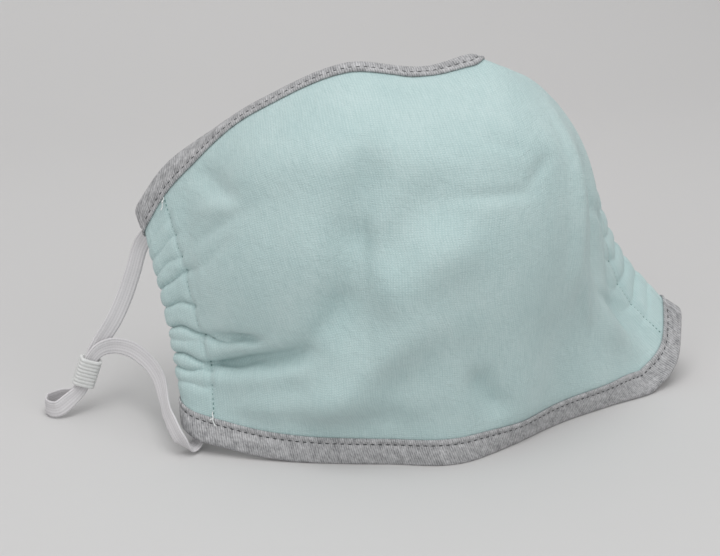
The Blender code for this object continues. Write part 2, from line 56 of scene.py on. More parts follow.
# Panel's ribs from the right ear side (-1) to the left ear side (+1). x is a share of the
# mask's width, z of its height, and y and the two bellies of its depth. A belly is how far
# the rib stands out of the straight line from foot to head, at one and two thirds of the way.
#    across    foot x  foot y  foot z   head x  head y  head z   low     high
SECTIONS = (
    (-1.00,  -0.483, -0.176, 0.062,  -0.528,  0.233, 0.569,   0.000,  0.000),
    (-0.88,  -0.463, -0.240, 0.040,  -0.476,  0.205, 0.681,   0.010,  0.018),
    (-0.75,  -0.404, -0.310, 0.022,  -0.413,  0.160, 0.762,   0.045,  0.085),
    (-0.50,  -0.295, -0.405, 0.002,  -0.294,  0.056, 0.888,   0.125,  0.205),
    (-0.25,  -0.149, -0.494, 0.000,  -0.163, -0.022, 0.977,   0.178,  0.278),
    ( 0.00,  -0.005, -0.550, 0.000,  -0.026, -0.089, 0.969,   0.178,  0.289),
    ( 0.13,   0.089, -0.456, 0.000,   0.053, -0.122, 1.000,   0.172,  0.267),
    ( 0.25,   0.179, -0.351, 0.000,   0.116, -0.078, 0.965,   0.133,  0.256),
    ( 0.50,   0.321, -0.227, 0.000,   0.216,  0.078, 0.862,   0.067,  0.144),
    ( 0.75,   0.432, -0.156, 0.003,   0.284,  0.289, 0.762,  -0.044,  0.056),
    ( 0.88,   0.489, -0.078, 0.062,   0.316,  0.378, 0.708,  -0.030,  0.022),
    ( 1.00,   0.518,  0.056, 0.180,   0.347,  0.467, 0.646,  -0.030,  0.000),
)

# Folds and dents. across and up place the middle on the panel, angle is in degrees from
# the across direction, and half length, half width and height are shares of the height.
#    across   up    angle  length width  height
FOLDS = (
    (-0.55, 0.52,    0,  0.260, 0.200,  0.030),   # cheek pouch
    (-0.62, 0.283,   4,  0.180, 0.024, -0.046),   # deep crease under the pouch
    (-0.35, 0.77,   -8,  0.240, 0.075,  0.024),   # shoulder over the cheek
    (-0.42, 0.33,   38,  0.080, 0.032, -0.016),   # its turn upwards
    (-0.66, 0.358, -10,  0.085, 0.015, -0.026),   # short crease above it
    (-0.60, 0.235,   5,  0.170, 0.038,  0.011),   # roll below the deep crease
    (-0.23, 0.66, -118,  0.125, 0.066, -0.044),   # long valley, upper part
    (-0.30, 0.47, -108,  0.125, 0.066, -0.048),   # long valley, middle
    (-0.34, 0.37,  -98,  0.070, 0.054, -0.014),   # long valley, foot
    (-0.40, 0.165,   3,  0.270, 0.050,  0.022),   # cloth standing out over the binding
    (-0.10, 0.48, -130,  0.120, 0.060,  0.030),   # slanting ridge, upper part
    (-0.25, 0.26, -144,  0.200, 0.056,  0.042),   # slanting ridge, lower part
    (-0.10, 0.60, -120,  0.125, 0.055, -0.027),   # second valley
    ( 0.055, 0.155, -62, 0.080, 0.028, -0.024),   # pinch over the chin
    ( 0.01, 0.24,  104,  0.080, 0.040, -0.007),
    ( 0.06, 0.655,  -4,  0.070, 0.018, -0.007),   # crescent dent beside the nose
    ( 0.15, 0.70,   58,  0.045, 0.016, -0.007),
    ( 0.09, 0.765, 148,  0.040, 0.016, -0.005),
    ( 0.13, 0.76,    0,  0.110, 0.060,  0.009),
    (-0.67, 0.80,  -42,  0.115, 0.026, -0.011),   # creases running in from the casing
    (-0.66, 0.735, -20,  0.095, 0.030,  0.008),
    (-0.66, 0.68,   10,  0.110, 0.026, -0.009),
    (-0.68, 0.605,  26,  0.070, 0.026, -0.007),
    ( 0.29, 0.60,  -92,  0.220, 0.034,  0.020),   # turn to the far cheek
    ( 0.36, 0.36,  -62,  0.090, 0.020,  0.014),
    ( 0.38, 0.38,  -48,  0.125, 0.046,  0.009),
    ( 0.53, 0.58,  -92,  0.210, 0.085, -0.042),   # hollow side of the far cheek
    (-0.06, 0.91, -112,  0.055, 0.024, -0.007),
    (-0.49, 0.17, -118,  0.070, 0.038, -0.008),
    (-0.20, 0.16, -120,  0.080, 0.038, -0.007),
    ( 0.70, 0.21,  -18,  0.210, 0.060,  0.026),   # flare of the far corner
    ( 0.82, 0.28,  -59,  0.140, 0.060,  0.009),
    ( 0.62, 0.34,   -8,  0.120, 0.024, -0.008),   # far casing's creases
    ( 0.66, 0.62,  -16,  0.110, 0.026, -0.008),
)

# Gathers of a casing. Each crease crosses it from the side fold to the stitch line: where,
# as shares of the side's height, then depth and half width in mm, and how many mm it runs on
# past the stitches.
#    fold   stitch  depth  width  reach
NEAR_CREASES = (
    (0.905, 0.890,  0.50,  1.2,   2.0),
    (0.820, 0.790,  0.80,  1.1,   3.0),
    (0.735, 0.690,  0.90,  1.0,   2.0),
    (0.640, 0.610,  1.70,  1.0,   7.0),
    (0.545, 0.465,  1.60,  0.8,   2.0),
    (0.425, 0.343,  2.60,  0.8,  18.0),
    (0.350, 0.300,  0.60,  0.9,   1.0),
    (0.278, 0.222,  2.40,  0.8,  24.0),
    (0.190, 0.190,  1.70,  0.8,   1.0),
    (0.115, 0.130,  0.90,  1.1,   2.0),
)
FAR_CREASES = (
    (0.880, 0.900,  0.60,  1.6,   4.0),
    (0.770, 0.790,  0.90,  1.4,   9.0),
    (0.665, 0.670,  1.00,  1.3,   6.0),
    (0.560, 0.560,  1.00,  1.3,  10.0),
    (0.455, 0.450,  1.10,  1.3,   7.0),
    (0.350, 0.340,  1.00,  1.3,  10.0),
    (0.240, 0.235,  0.90,  1.3,   6.0),
    (0.130, 0.130,  0.60,  1.4,   4.0),
)

# Free part of the ear loop on the right ear side: x, y and z as shares of the mask's width,
# depth and height, the way its flat side faces, and its width as a share of the elastic's.
#      x       y      z      face x  face y  face z  width
NEAR_LOOP = (
    (-0.459, -0.220, 0.022,   0.51,  0.47, -0.64,  0.78),
    (-0.473, -0.242, 0.015,  -0.20,  0.16, -0.94,  0.82),   # folded tip on the floor
    (-0.491, -0.258, 0.047,  -0.55, -0.80, -0.22,  0.95),
    (-0.503, -0.215, 0.082,  -0.80, -0.55,  0.20,  1.00),
    (-0.507, -0.135, 0.094,  -0.80, -0.55,  0.25,  1.00),
    (-0.506, -0.036, 0.106,  -0.75, -0.60,  0.25,  1.00),
    (-0.510,  0.060, 0.136,  -0.60, -0.75,  0.25,  1.00),
    (-0.528,  0.144, 0.163,  -0.40, -0.90,  0.20,  1.00),
    (-0.556,  0.206, 0.182,  -0.15, -1.00,  0.15,  1.00),
    (-0.584,  0.226, 0.187,   0.05, -1.00,  0.10,  1.00),
    (-0.607,  0.220, 0.180,   0.05, -1.00,  0.10,  0.90),
    (-0.622,  0.216, 0.160,   0.00, -1.00,  0.00,  0.78),   # front strand in the adjuster
    (-0.632,  0.216, 0.120,   0.00, -1.00,  0.00,  0.78),
    (-0.643,  0.216, 0.078,   0.00, -1.00,  0.00,  0.78),
    (-0.668,  0.194, 0.049,  -0.10, -1.00,  0.10,  0.95),
    (-0.693,  0.187, 0.028,  -0.30, -1.00,  0.10,  1.00),
    (-0.710,  0.225, 0.026,  -1.00,  0.00,  0.00,  1.00),   # bight standing on the floor
    (-0.703,  0.285, 0.027,  -0.40,  1.00,  0.00,  1.00),
    (-0.680,  0.268, 0.044,   0.00,  1.00,  0.10,  0.90),
    (-0.653,  0.233, 0.060,   0.00,  1.00,  0.00,  0.78),
    (-0.644,  0.231, 0.078,   0.00,  1.00,  0.00,  0.78),   # rear strand in the adjuster
    (-0.633,  0.232, 0.118,   0.00,  1.00,  0.00,  0.78),
    (-0.622,  0.232, 0.160,   0.00,  1.00,  0.00,  0.78),
    (-0.605,  0.246, 0.195,   0.10,  1.00,  0.00,  0.95),
    (-0.577,  0.262, 0.250,   0.20,  1.00,  0.00,  1.00),
    (-0.555,  0.290, 0.304,   0.30,  1.00,  0.00,  1.00),
    (-0.534,  0.325, 0.370,   0.40,  0.95,  0.00,  1.00),
    (-0.514,  0.358, 0.440,   0.50,  0.85,  0.00,  1.00),
    (-0.492,  0.322, 0.492,   0.55,  0.80,  0.00,  0.95),
)

# The far ear loop lies on the floor behind the mask.
FAR_LOOP = (
    ( 0.480,  0.130, 0.098,   0.50, -0.50, -0.70,  0.95),   # below the casing's mouth
    ( 0.435,  0.235, 0.045,   0.40, -0.40, -0.80,  1.00),
    ( 0.365,  0.395, 0.018,   0.15, -0.15, -1.00,  1.00),
    ( 0.290,  0.540, 0.018,   0.00,  0.00, -1.00,  0.90),
    ( 0.245,  0.590, 0.020,   0.00,  0.00, -1.00,  0.78),   # lower strand in the adjuster
    ( 0.218,  0.590, 0.020,   0.00,  0.00, -1.00,  0.78),
    ( 0.191,  0.590, 0.020,   0.00,  0.00, -1.00,  0.78),
    ( 0.160,  0.590, 0.012,   0.00,  0.00, -1.00,  0.95),
    ( 0.132,  0.590, 0.028,  -1.00,  0.00,  0.00,  1.00),   # bight
    ( 0.160,  0.590, 0.046,   0.00,  0.00,  1.00,  0.95),
    ( 0.191,  0.590, 0.031,   0.00,  0.00,  1.00,  0.78),   # upper strand in the adjuster
    ( 0.218,  0.590, 0.031,   0.00,  0.00,  1.00,  0.78),
    ( 0.245,  0.590, 0.031,   0.00,  0.00,  1.00,  0.78),
    ( 0.285,  0.620, 0.045,  -0.10,  0.10,  1.00,  0.95),
    ( 0.330,  0.660, 0.110,  -0.60,  0.50,  0.60,  1.00),
    ( 0.350,  0.660, 0.220,  -0.75,  0.65,  0.10,  1.00),
    ( 0.350,  0.630, 0.340,  -0.75,  0.65,  0.00,  1.00),
    ( 0.343,  0.590, 0.430,  -0.75,  0.65,  0.00,  1.00),
)


class Side(Enum):
    """One of the mask's two ear sides, by its look in the picture."""

    NEAR = "near"    # the wearer's right
    FAR = "far"      # the wearer's left


class Edge(Enum):
    """What a row of the cloth is measured from."""

    FOOT = "foot"
    HEAD = "head"
    OPEN = "open"    # a share of the cloth between the two bindings


class Layer(Enum):
    """Part of the sheet that a column of it belongs to."""

    FLAP = 0
    FOLD = 1
    FRONT = 2
    MIDDLE = 3


def curve_through(xs: Array, ys: Array, x: Array) -> Array:
    """Read a smooth curve through points.

    Args:
        xs: Rising places of the points.
        ys: Their values.
        x: Places to read.

    Returns:
        The curve's values at x.
    """
    slope = np.gradient(ys, xs)
    i = np.clip(np.searchsorted(xs, x) - 1, 0, len(xs) - 2)
    gap = xs[i + 1] - xs[i]
    f = (x - xs[i]) / gap
    f2, f3 = f * f, f * f * f
    return ((2 * f3 - 3 * f2 + 1) * ys[i] + (f3 - 2 * f2 + f) * gap * slope[i]
            + (3 * f2 - 2 * f3) * ys[i + 1] + (f3 - f2) * gap * slope[i + 1])


def ease(t: Array) -> Array:
    """Smooth step from 0 to 1 as t goes from 0 to 1."""
    t = np.clip(t, 0.0, 1.0)
    return t * t * (3 - 2 * t)


def fade(x: Array, none: float, full: float) -> Array:
    """Smooth step from 0 where x is none to 1 where it is full, whichever is greater."""
    return ease((x - none) / (full - none))


def unit(vectors: Array) -> Array:
    """Vectors scaled to length one along the last axis."""
    return vectors / np.maximum(np.linalg.norm(vectors, axis=-1, keepdims=True), 1e-12)


def grid_normals(points: Array) -> Array:
    """Outward normals of a grid of points, first axis across and second axis up."""
    return unit(np.cross(np.gradient(points, axis=0), np.gradient(points, axis=1)))


def run_along(points: Array) -> Array:
    """Length of a line of points up to each of them."""
    return np.concatenate([[0.0], np.cumsum(np.linalg.norm(np.diff(points, axis=0), axis=1))])


def rounded_box(facets: int, sideways: float, outward: float) -> tuple[Array, Array]:
    """Draw a box from -1 to 1 with rounded corners.

    Args:
        facets: Number of its points.
        sideways: How round it is sideways: 1 is a circle's, and 0 is square.
        outward: The same outward.

    Returns:
        Its sideways and its outward places, the first point again at the end.
    """
    turn = np.linspace(0, 2 * math.pi, facets + 1)
    return (np.sign(np.cos(turn)) * np.abs(np.cos(turn)) ** sideways,
            np.sign(np.sin(turn)) * np.abs(np.sin(turn)) ** outward)


@dataclass
class Pattern:
    """Driving sizes of the mask, and the sizes that follow from them."""

    width: float = 0.190
    depth: float = 0.090
    height: float = 0.130
    panel_wall: float = 0.0010
    binding_wall: float = 0.0010
    binding_width: float = 0.0095
    casing_width: float = 0.0170     # from the side fold to just past the stitch line
    tunnel_width: float = 0.0130     # the part of it where the elastic runs
    elastic_width: float = 0.0058
    elastic_wall: float = 0.0010
    clearance: float = 0.0003
    leaf_gap: float = 0.00055        # between the panel and each leaf of a binding
    settle: float = 0.0004           # how deep the foot would sink if its fold had no height
    fold_room: float = 0.00025       # spare room for the elastic in a casing
    arch_room: float = 0.0003        # and where it goes round the edge of a flap
    mouth_share: float = 0.64        # width of the elastic bunched in a casing, over its own
    origin: tuple[float, float, float] = (0.00094, 0.00546, 0.00001)
    lines: dict[Side, float] = field(default_factory=dict)

    def __post_init__(self) -> None:
        """Work out the sizes that follow.

        bound_half is half the thickness of a bound edge, fold the radius of a side fold and
        lines the distance of each elastic's middle from its side fold.
        """
        self.bound_half = self.panel_wall / 2 + self.leaf_gap + self.binding_wall
        self.fold = (self.bound_half + self.clearance + self.elastic_wall / 2
                     + self.fold_room)
        self.lines = {Side.NEAR: 0.52 * self.tunnel_width, Side.FAR: 0.49 * self.tunnel_width}


@dataclass
class Columns:
    """Columns of a sheet, one entry each, from the near flap round to the far flap."""

    BESIDE = 0.22    # where the even columns beside a fold start, as a share of the casing

    layer: Array
    near: Array      # True on the near side and in the middle
    away: Array      # distance from the side fold, or share of the middle
    angle: Array     # radians round the fold: a quarter turn is the front

    @classmethod
    def over(cls, casing: float, flap_end: float, middle: int, fold_steps: int = 11,
             step: float = 0.8 * MM, front_end: float = 1.7) -> "Columns":
        """Lay out the columns of a whole sheet.

        Args:
            casing: The casing's width.
            flap_end: How far the flap reaches, as a share of casing.
            middle: Number of columns in the middle.
            fold_steps: Columns round each side fold.
            step: Spacing of the columns beside the folds.
            front_end: Where the middle starts, as a share of casing.

        Returns:
            The columns.
        """
        flap = casing * np.linspace(flap_end, cls.BESIDE,
                                    round((flap_end - cls.BESIDE) * casing / step))
        front = casing * np.linspace(cls.BESIDE, front_end,
                                     round((front_end - cls.BESIDE) * casing / step))
        turns = np.linspace(-math.pi / 2, math.pi / 2, fold_steps)
        parts = [(Layer.FLAP, flap, 0 * flap), (Layer.FOLD, 0 * turns, turns),
                 (Layer.FRONT, front, 0 * front)]
        layer = np.concatenate([np.full(len(a), part.value) for part, a, _ in parts])
        away = np.concatenate([a for _, a, _ in parts])
        angle = np.concatenate([t for _, _, t in parts])
        share = (np.arange(middle) + 1) / (middle + 1)
        both = np.full(middle, Layer.MIDDLE.value)
        return cls(np.concatenate([layer, both, layer[::-1]]),
                   np.concatenate([np.ones(len(layer) + middle, bool), np.zeros(len(layer), bool)]),
                   np.concatenate([away, share, away[::-1]]),
                   np.concatenate([angle, 0 * share, angle[::-1]]))

    @classmethod
    def single(cls, side: Side, layer: Layer, away: float) -> "Columns":
        """One column alone, for a seam."""
        return cls(np.array([layer.value]), np.array([side is Side.NEAR]), np.array([away]),
                   np.array([0.0]))


class ClothForm:
    """The panel as ribs from foot to head, read by length along the cloth.

    Across goes from -1 at the near side to 1 at the far side, and up from 0 at the foot to 1 at
    the head.
    """

    DRAWN_IN = 0.0022      # how far the near side's gathers draw it in; the far side's, twice
    FLARE = 0.0016         # how far the far corner's foot stands out
    TUCK = 0.0026          # how far the cloth over the far part of the foot stands out
    ROLL_FROM = 0.78       # from here up a rib is drawn anew, so that its head leans in
    ROLL_BEND = 0.62       # how much of that part lies below the crest
    LEAN_CREST = 0.971     # where the crest is, as a share of the rib
    LEAN_LENGTH = 0.0074   # how much cloth leans in above it
    LEAN_TURN = 72.0       # by how many degrees
    ROLL_CREST = 0.955     # the same behind the far cheek, where the head turns right over
    ROLL_LENGTH = 0.020
    ROLL_TURN = 115.0
    ROLL_RADIUS = 0.004
    CLOTH_SHARE = 0.63     # length of cloth for one step across, as a share of the width

    def __init__(self, pattern: Pattern, stations: int = 241, steps: int = 221) -> None:
        """Shape every rib.

        Args:
            pattern: The driving sizes.
            stations: Number of ribs across.
            steps: Number of points on a rib.
        """
        self.pattern = pattern
        self.stations = stations
        self.steps = steps
        across, up = np.meshgrid(np.linspace(-1, 1, stations), np.linspace(0, 1, steps),
                                 indexing="ij")
        smooth = self.roll(across, up)
        raised = self.folds(across, up)[..., None]
        self.points = smooth + grid_normals(smooth) * raised
        self.normals = grid_normals(self.points)
        lengths = np.linalg.norm(np.diff(self.points, axis=1), axis=-1)
        self.reach = np.concatenate([np.zeros((stations, 1)), np.cumsum(lengths, 1)], 1)
        self.length = self.reach[:, -1]
        self.slopes = {side: (self.slope(side, 0), self.slope(side, -1)) for side in Side}
        self.rows: dict[tuple[Edge, float], Row] = {}

    def shape(self, across: Array, up: Array) -> Array:
        """Work out the panel's outer form, without its folds.

        A rib is the cubic through its foot, its two bellies and its head.

        Args:
            across: Places across.
            up: Places up, as many.

        Returns:
            The points there.
        """
        p = self.pattern
        table = np.array(SECTIONS)
        knots = table[:, 0]
        read = [curve_through(knots, table[:, k], across) for k in range(1, 9)]
        foot = np.stack([read[0] * p.width, read[1] * p.depth,
                         np.maximum(read[2], 0.0) * p.height - p.settle], -1)
        head = np.stack([read[3] * p.width, read[4] * p.depth, read[5] * p.height], -1)
        step = 1e-3
        ahead, behind = (
            [(curve_through(knots, table[:, k], across + shift) * p.width,
              curve_through(knots, table[:, k + 1], across + shift) * p.depth)
             for k in (1, 4)] for shift in (step, -step))
        run_x = sum(a[0] - b[0] for a, b in zip(ahead, behind))
        run_y = sum(a[1] - b[1] for a, b in zip(ahead, behind))
        out = unit(np.stack([run_y, -run_x, 0 * run_x], -1))
        chord = head - foot
        line = unit(chord)
        out = unit(out - line * (out * line).sum(-1, keepdims=True))
        low = foot + chord / 3 + out * (read[6] * p.depth)[..., None]
        high = foot + chord * 2 / 3 + out * (read[7] * p.depth)[..., None]
        leaning = unit(head - 5.5 * foot + 9 * low - 4.5 * high)[..., 2]
        foot[..., 2] += p.bound_half * (1 - leaning)
        t = up[..., None]
        return (-4.5 * (t - 1 / 3) * (t - 2 / 3) * (t - 1) * foot
                + 13.5 * t * (t - 2 / 3) * (t - 1) * low
                - 13.5 * t * (t - 1 / 3) * (t - 1) * high
                + 4.5 * t * (t - 1 / 3) * (t - 2 / 3) * head)

    def drape(self, across: Array, up: Array) -> Array:
        """Draw the outer form's sides in, and let its far foot stand out.

        Args:
            across: Places across.
            up: Places up, as many.

        Returns:
            The points there.
        """
        cloth = self.shape(across, up)
        belly = self.DRAWN_IN * 4 * up * (1 - up)
        cloth[..., 0] += belly * fade(across, -0.62, -1.0)
        cloth[..., 0] -= 2 * belly * fade(across, 0.62, 1.0)
        cloth[..., 0] += self.FLARE * fade(up, 0.5, 0.1) * fade(across, 0.75, 1.0)
        tuck = self.TUCK * fade(up, 0.0, 0.10) * fade(up, 0.32, 0.10) * fade(across, 0.02, 0.16)
        cloth[..., :2] += grid_normals(cloth)[..., :2] * tuck[..., None]
        return cloth

    def roll(self, across: Array, up: Array) -> Array:
        """Lean the draped form's head in, and turn it right over behind the far cheek.

        Args:
            across: Places across.
            up: Places up, as many.

        Returns:
            The points there.
        """
        cloth = self.drape(across, up)
        sway = cloth - self.shape(across, up)
        start, bend = self.ROLL_FROM, self.ROLL_BEND
        over = fade(across, 0.095, 0.19)
        crest_at = self.LEAN_CREST + (self.ROLL_CREST - self.LEAN_CREST) * over
        length = self.LEAN_LENGTH + (self.ROLL_LENGTH - self.LEAN_LENGTH) * over
        most = np.radians(self.LEAN_TURN + (self.ROLL_TURN - self.LEAN_TURN) * over)
        share = np.clip((up - start) / (1 - start), 0.0, 1.0)
        crest = self.shape(across, np.minimum(up, start)
                           + (crest_at - start) * np.minimum(share / bend, 1.0))
        top = self.shape(across, crest_at)
        rise = unit(top - self.shape(across, crest_at - 0.02))
        inward = np.cross(rise, unit(np.gradient(top, axis=0)))
        turn = np.clip((share - bend) / (1 - bend), 0.0, 1.0) * length / self.ROLL_RADIUS
        angle = np.minimum(turn, most)[..., None]
        straight = np.maximum(turn - most, 0.0)[..., None]
        rolled = crest + sway + self.ROLL_RADIUS * (
            rise * (np.sin(angle) + straight * np.cos(angle))
            + inward * (1 - np.cos(angle) + straight * np.sin(angle)))
        amount = fade(across, -0.95, -0.55) * fade(across, 0.86, 0.66)
        return cloth + (rolled - cloth) * amount[..., None]

    def folds(self, across: Array, up: Array) -> Array:
        """Add up all folds and dents.

        Args:
            across: Places across.
            up: Places up, as many.

        Returns:
            How far the cloth stands out there.
        """
        p = self.pattern
        height = np.zeros(across.shape)
        for mid, rise, angle, length, width, tall in FOLDS:
            x = (across - mid) * p.width * self.CLOTH_SHARE
            y = (up - rise) * p.height
            turn = math.radians(angle)
            along = (x * math.cos(turn) + y * math.sin(turn)) / (length * p.height)
            beside = (y * math.cos(turn) - x * math.sin(turn)) / (width * p.height)
            height += tall * p.height * np.exp(-along ** 4 - beside ** 2)
        return (height * fade(up, 0.06, 0.15) * fade(up, 0.94, 0.86)
                * fade(np.abs(across), 0.85, 0.75))

    def slope(self, side: Side, edge: int) -> float:
        """Measure how steeply an edge meets a corner's rib, which sets the flap's shape.

        Args:
            side: The corner's side.
            edge: 0 for the foot and -1 for the head.

        Returns:
            Rise along the rib for each metre beside it.
        """
        reach = round(0.047 * self.stations)
        end, inner = (0, reach) if side is Side.NEAR else (-1, -1 - reach)
        rib = unit(self.points[end, -1] - self.points[end, 0]) * (1 if edge == 0 else -1)
        run = self.points[inner, edge] - self.points[end, edge]
        along = -float(run @ rib)
        beside = math.sqrt(max(float(run @ run) - along ** 2, 1e-12))
        return float(np.clip(along / beside, 0.15, 0.30))

    def depths(self, edge: Edge, value: float, lift: Array, drop: Array) -> Array:
        """Find one row's length up every rib.

        Args:
            edge: What the row is measured from.
            value: Distance from the edge, or share between the bindings.
            lift: How much shorter every rib is at its foot.
            drop: How much shorter it is at its head.

        Returns:
            The length up each rib.
        """
        top = self.length - drop
        if edge is Edge.FOOT:
            return lift + value + 0 * top
        if edge is Edge.HEAD:
            return top - value
        margin = self.pattern.binding_width
        return lift + margin + value * (top - lift - 2 * margin)

    def read(self, depth: Array) -> tuple[Array, Array]:
        """Read every rib at its own length.

        Args:
            depth: Length up each rib.

        Returns:
            The points and normals there.
        """
        i = np.arange(self.stations)
        k = np.clip((self.reach < depth[:, None]).sum(1) - 1, 0, self.steps - 2)
        low, high = self.reach[i, k], self.reach[i, k + 1]
        f = np.clip((depth - low) / (high - low), 0.0, 1.0)[:, None]
        points = self.points[i, k] * (1 - f) + self.points[i, k + 1] * f
        normals = self.normals[i, k] * (1 - f) + self.normals[i, k + 1] * f
        return points, unit(normals)

    def row(self, edge: Edge, value: float) -> "Row":
        """Give the row at a place, and work it out only once.

        Args:
            edge: What the row is measured from.
            value: Distance from the edge, or share between the bindings.

        Returns:
            The row.
        """
        key = (edge, round(value, 7))
        if key not in self.rows:
            self.rows[key] = Row(self, edge, value)
        return self.rows[key]


class Row:
    """One row of the cloth, at a fixed height from an edge or at a share of the ribs."""

    STITCH = 0.93          # the casing's stitch line, as a share of its width
    DIP = 0.0009           # how far its stitches pull the cloth in
    WAVER = 0.006          # how far a crease wanders, as a share of the side's height
    PUFF = 0.0010          # how far the gathered cloth swells between creases
    LOFT = 0.0004          # what is left of the casing's height at its stitch line

    def __init__(self, cloth: ClothForm, edge: Edge, value: float) -> None:
        """Read the ribs at one height.

        Args:
            cloth: The form that the row lies on.
            edge: What the height is measured from.
            value: Distance from the edge, or share between the bindings.
        """
        zero = 0 * cloth.length
        self.pattern = cloth.pattern
        self.points, self.normals = cloth.read(cloth.depths(edge, value, zero, zero))
        run = run_along(self.points)
        self.length = run[-1]
        self.runs = {Side.NEAR: run, Side.FAR: (self.length - run)[::-1]}
        self.flaps = {}
        for side in Side:
            low, high = cloth.slopes[side]
            reach = run if side is Side.NEAR else self.length - run
            self.flaps[side] = cloth.read(cloth.depths(edge, value, 2 * low * reach,
                                                       2 * high * reach))
        self.free = {side: float(cloth.length[0 if side is Side.NEAR else -1])
                     - 2 * self.pattern.binding_width for side in Side}
        nearest = min(value, 1 - value) * self.free[Side.NEAR] if edge is Edge.OPEN else 0.0
        self.bound = float(fade(nearest, 8 * MM, 0.0))
        self.value = value if edge is Edge.OPEN else None

    def read_at(self, side: Side, away: Array, flap: bool = False) -> tuple[Array, Array]:
        """Read the row at distances from one side, straight on past its end.

        Args:
            side: The side.
            away: Distances from its fold.
            flap: Whether the flap's own points are read, not the front's.

        Returns:
            The points and normals there.
        """
        run = self.runs[side]
        found = []
        for values in self.flaps[side] if flap else (self.points, self.normals):
            values = values if side is Side.NEAR else values[::-1]
            inside = np.maximum(away, 0.0)
            at = np.stack([curve_through(run, values[:, k], inside) for k in range(3)], -1)
            start = (values[1] - values[0]) / (run[1] - run[0])
            found.append(at + start * np.minimum(away, 0.0)[:, None])
        return found[0], unit(found[1])

    def hollow_half(self, away: Array) -> Array:
        """Half the height of a casing's hollow, between the middles of its two layers."""
        p = self.pattern
        sewn = (p.panel_wall / 2 + self.LOFT) * (1 - self.bound) + p.bound_half * self.bound
        return (p.fold + (sewn + p.clearance / 2 - p.fold)
                * fade(away / p.casing_width, 0.68, 0.94))

    def relief(self, side: Side, away: Array) -> Array:
        """Work out a casing's gathers.

        Args:
            side: The casing's side.
            away: Distances from its fold.

        Returns:
            How far the cloth stands out there.
        """
        if self.value is None:
            return 0 * away
        stitch = self.STITCH * self.pattern.casing_width
        beyond = np.maximum(away - stitch, 0.0)
        height = self.PUFF * np.exp(-(beyond / (5 * MM)) ** 2) * (1 - self.bound)
        table = NEAR_CREASES if side is Side.NEAR else FAR_CREASES
        for at_fold, at_stitch, depth, width, reach in table:
            middle = at_fold + (at_stitch - at_fold) * np.minimum(away / stitch, 1.0)
            middle = middle + self.WAVER * np.sin(away / (2.1 * MM) + 40 * at_fold)
            off = np.abs(self.value - middle) * self.free[side]
            spread = width * MM * (1 + 0.05 * beyond / MM)
            left = np.exp(-(beyond / (reach * MM)) ** 1.5)
            height = height - depth * MM * left * np.exp(-(off / spread) ** 1.4)
        return height * fade(min(self.value, 1 - self.value), 0.0, 0.04)

    def place(self, columns: Columns, offset: float) -> Array:
        """Lay the row on the columns of a sheet.

        Args:
            columns: The sheet's columns.
            offset: How far it stands off the cloth's middle.

        Returns:
            A point for each column.
        """
        p = self.pattern
        points = np.empty((len(columns.away), 3))
        front_end = columns.away[columns.layer == Layer.FRONT.value].max(initial=0.0)
        fold = columns.layer == Layer.FOLD.value
        flap = columns.layer == Layer.FLAP.value
        middle = columns.layer == Layer.MIDDLE.value
        back = flap | (fold & (columns.angle < 0))
        for side in Side:
            near = columns.near if side is Side.NEAR else ~columns.near
            away = np.where(middle, front_end + columns.away * (self.length - 2 * front_end),
                            columns.away)
            dip = np.exp(-np.abs((away / p.casing_width - self.STITCH) / 0.075) ** 1.3)
            lean = np.where(fold, -np.cos(columns.angle), 0.0)
            rise = np.where(fold, np.sin(columns.angle), 1.0)
            stand = np.where(fold, -p.fold + p.fold * rise, -self.DIP * dip * (1 - self.bound))
            away = np.where(fold, p.fold + p.fold * lean, away)
            half = self.hollow_half(away)
            step = 0.1 * MM
            fall = (self.hollow_half(away + step) - half) / step
            size = np.hypot(1.0, 2 * fall)
            lean = np.where(flap, -2 * fall / size, lean)
            rise = np.where(flap, -1 / size, rise)
            stand = np.where(flap, -2 * half, stand)
            swell = self.relief(side, np.where(middle, away, np.maximum(away, 0.0)))
            if side is Side.NEAR:
                swell = np.where(middle, swell + self.relief(Side.FAR, self.length - away), swell)
            swell *= np.select([fold, flap], [0.40 + 0.60 * np.abs(rise), 0.15 + 0 * rise], 1.0)
            away = away + lean * (offset + swell)
            stand = stand + rise * (offset + swell)
            for behind in (False, True):
                mine = near & (back if behind else ~back)
                if mine.any():
                    point, normal = self.read_at(side, away[mine], behind)
                    points[mine] = point + normal * stand[mine][:, None]
        return points + np.array(p.origin)


def column_runs(form: ClothForm, columns: Columns) -> Array:
    """Measure how far along the cloth every column is.

    Args:
        form: The cloth.
        columns: A sheet's columns.

    Returns:
        Millimetres from the near side fold, for each column.
    """
    p = form.pattern
    length = form.row(Edge.OPEN, 0.5).length
    front_end = columns.away[columns.layer == Layer.FRONT.value].max()
    inner = front_end + columns.away * (length - 2 * front_end)
    flap = -math.pi * p.fold - columns.away
    fold = -(math.pi / 2 - columns.angle) * p.fold
    run = np.select([columns.layer == Layer.MIDDLE.value, columns.layer == Layer.FLAP.value,
                     columns.layer == Layer.FOLD.value], [inner, flap, fold], columns.away)
    return np.where(columns.near, run, length - run) / MM


def rib_lengths(form: ClothForm, columns: Columns) -> Array:
    """Measure the cloth from foot to head at every column.

    Args:
        form: The cloth.
        columns: A sheet's columns.

    Returns:
        A length for each column.
    """
    row = form.row(Edge.OPEN, 0.5)
    runs = column_runs(form, columns) * MM
    return np.interp(runs, row.runs[Side.NEAR], form.length)


def linear(code: str) -> tuple[float, float, float, float]:
    """Linear colour with full alpha from an sRGB hex value such as 'A9C4C1'."""
    shares = [int(code[i:i + 2], 16) / 255 for i in (0, 2, 4)]
    return (*[s / 12.92 if s <= 0.04045 else ((s + 0.055) / 1.055) ** 2.4 for s in shares], 1.0)


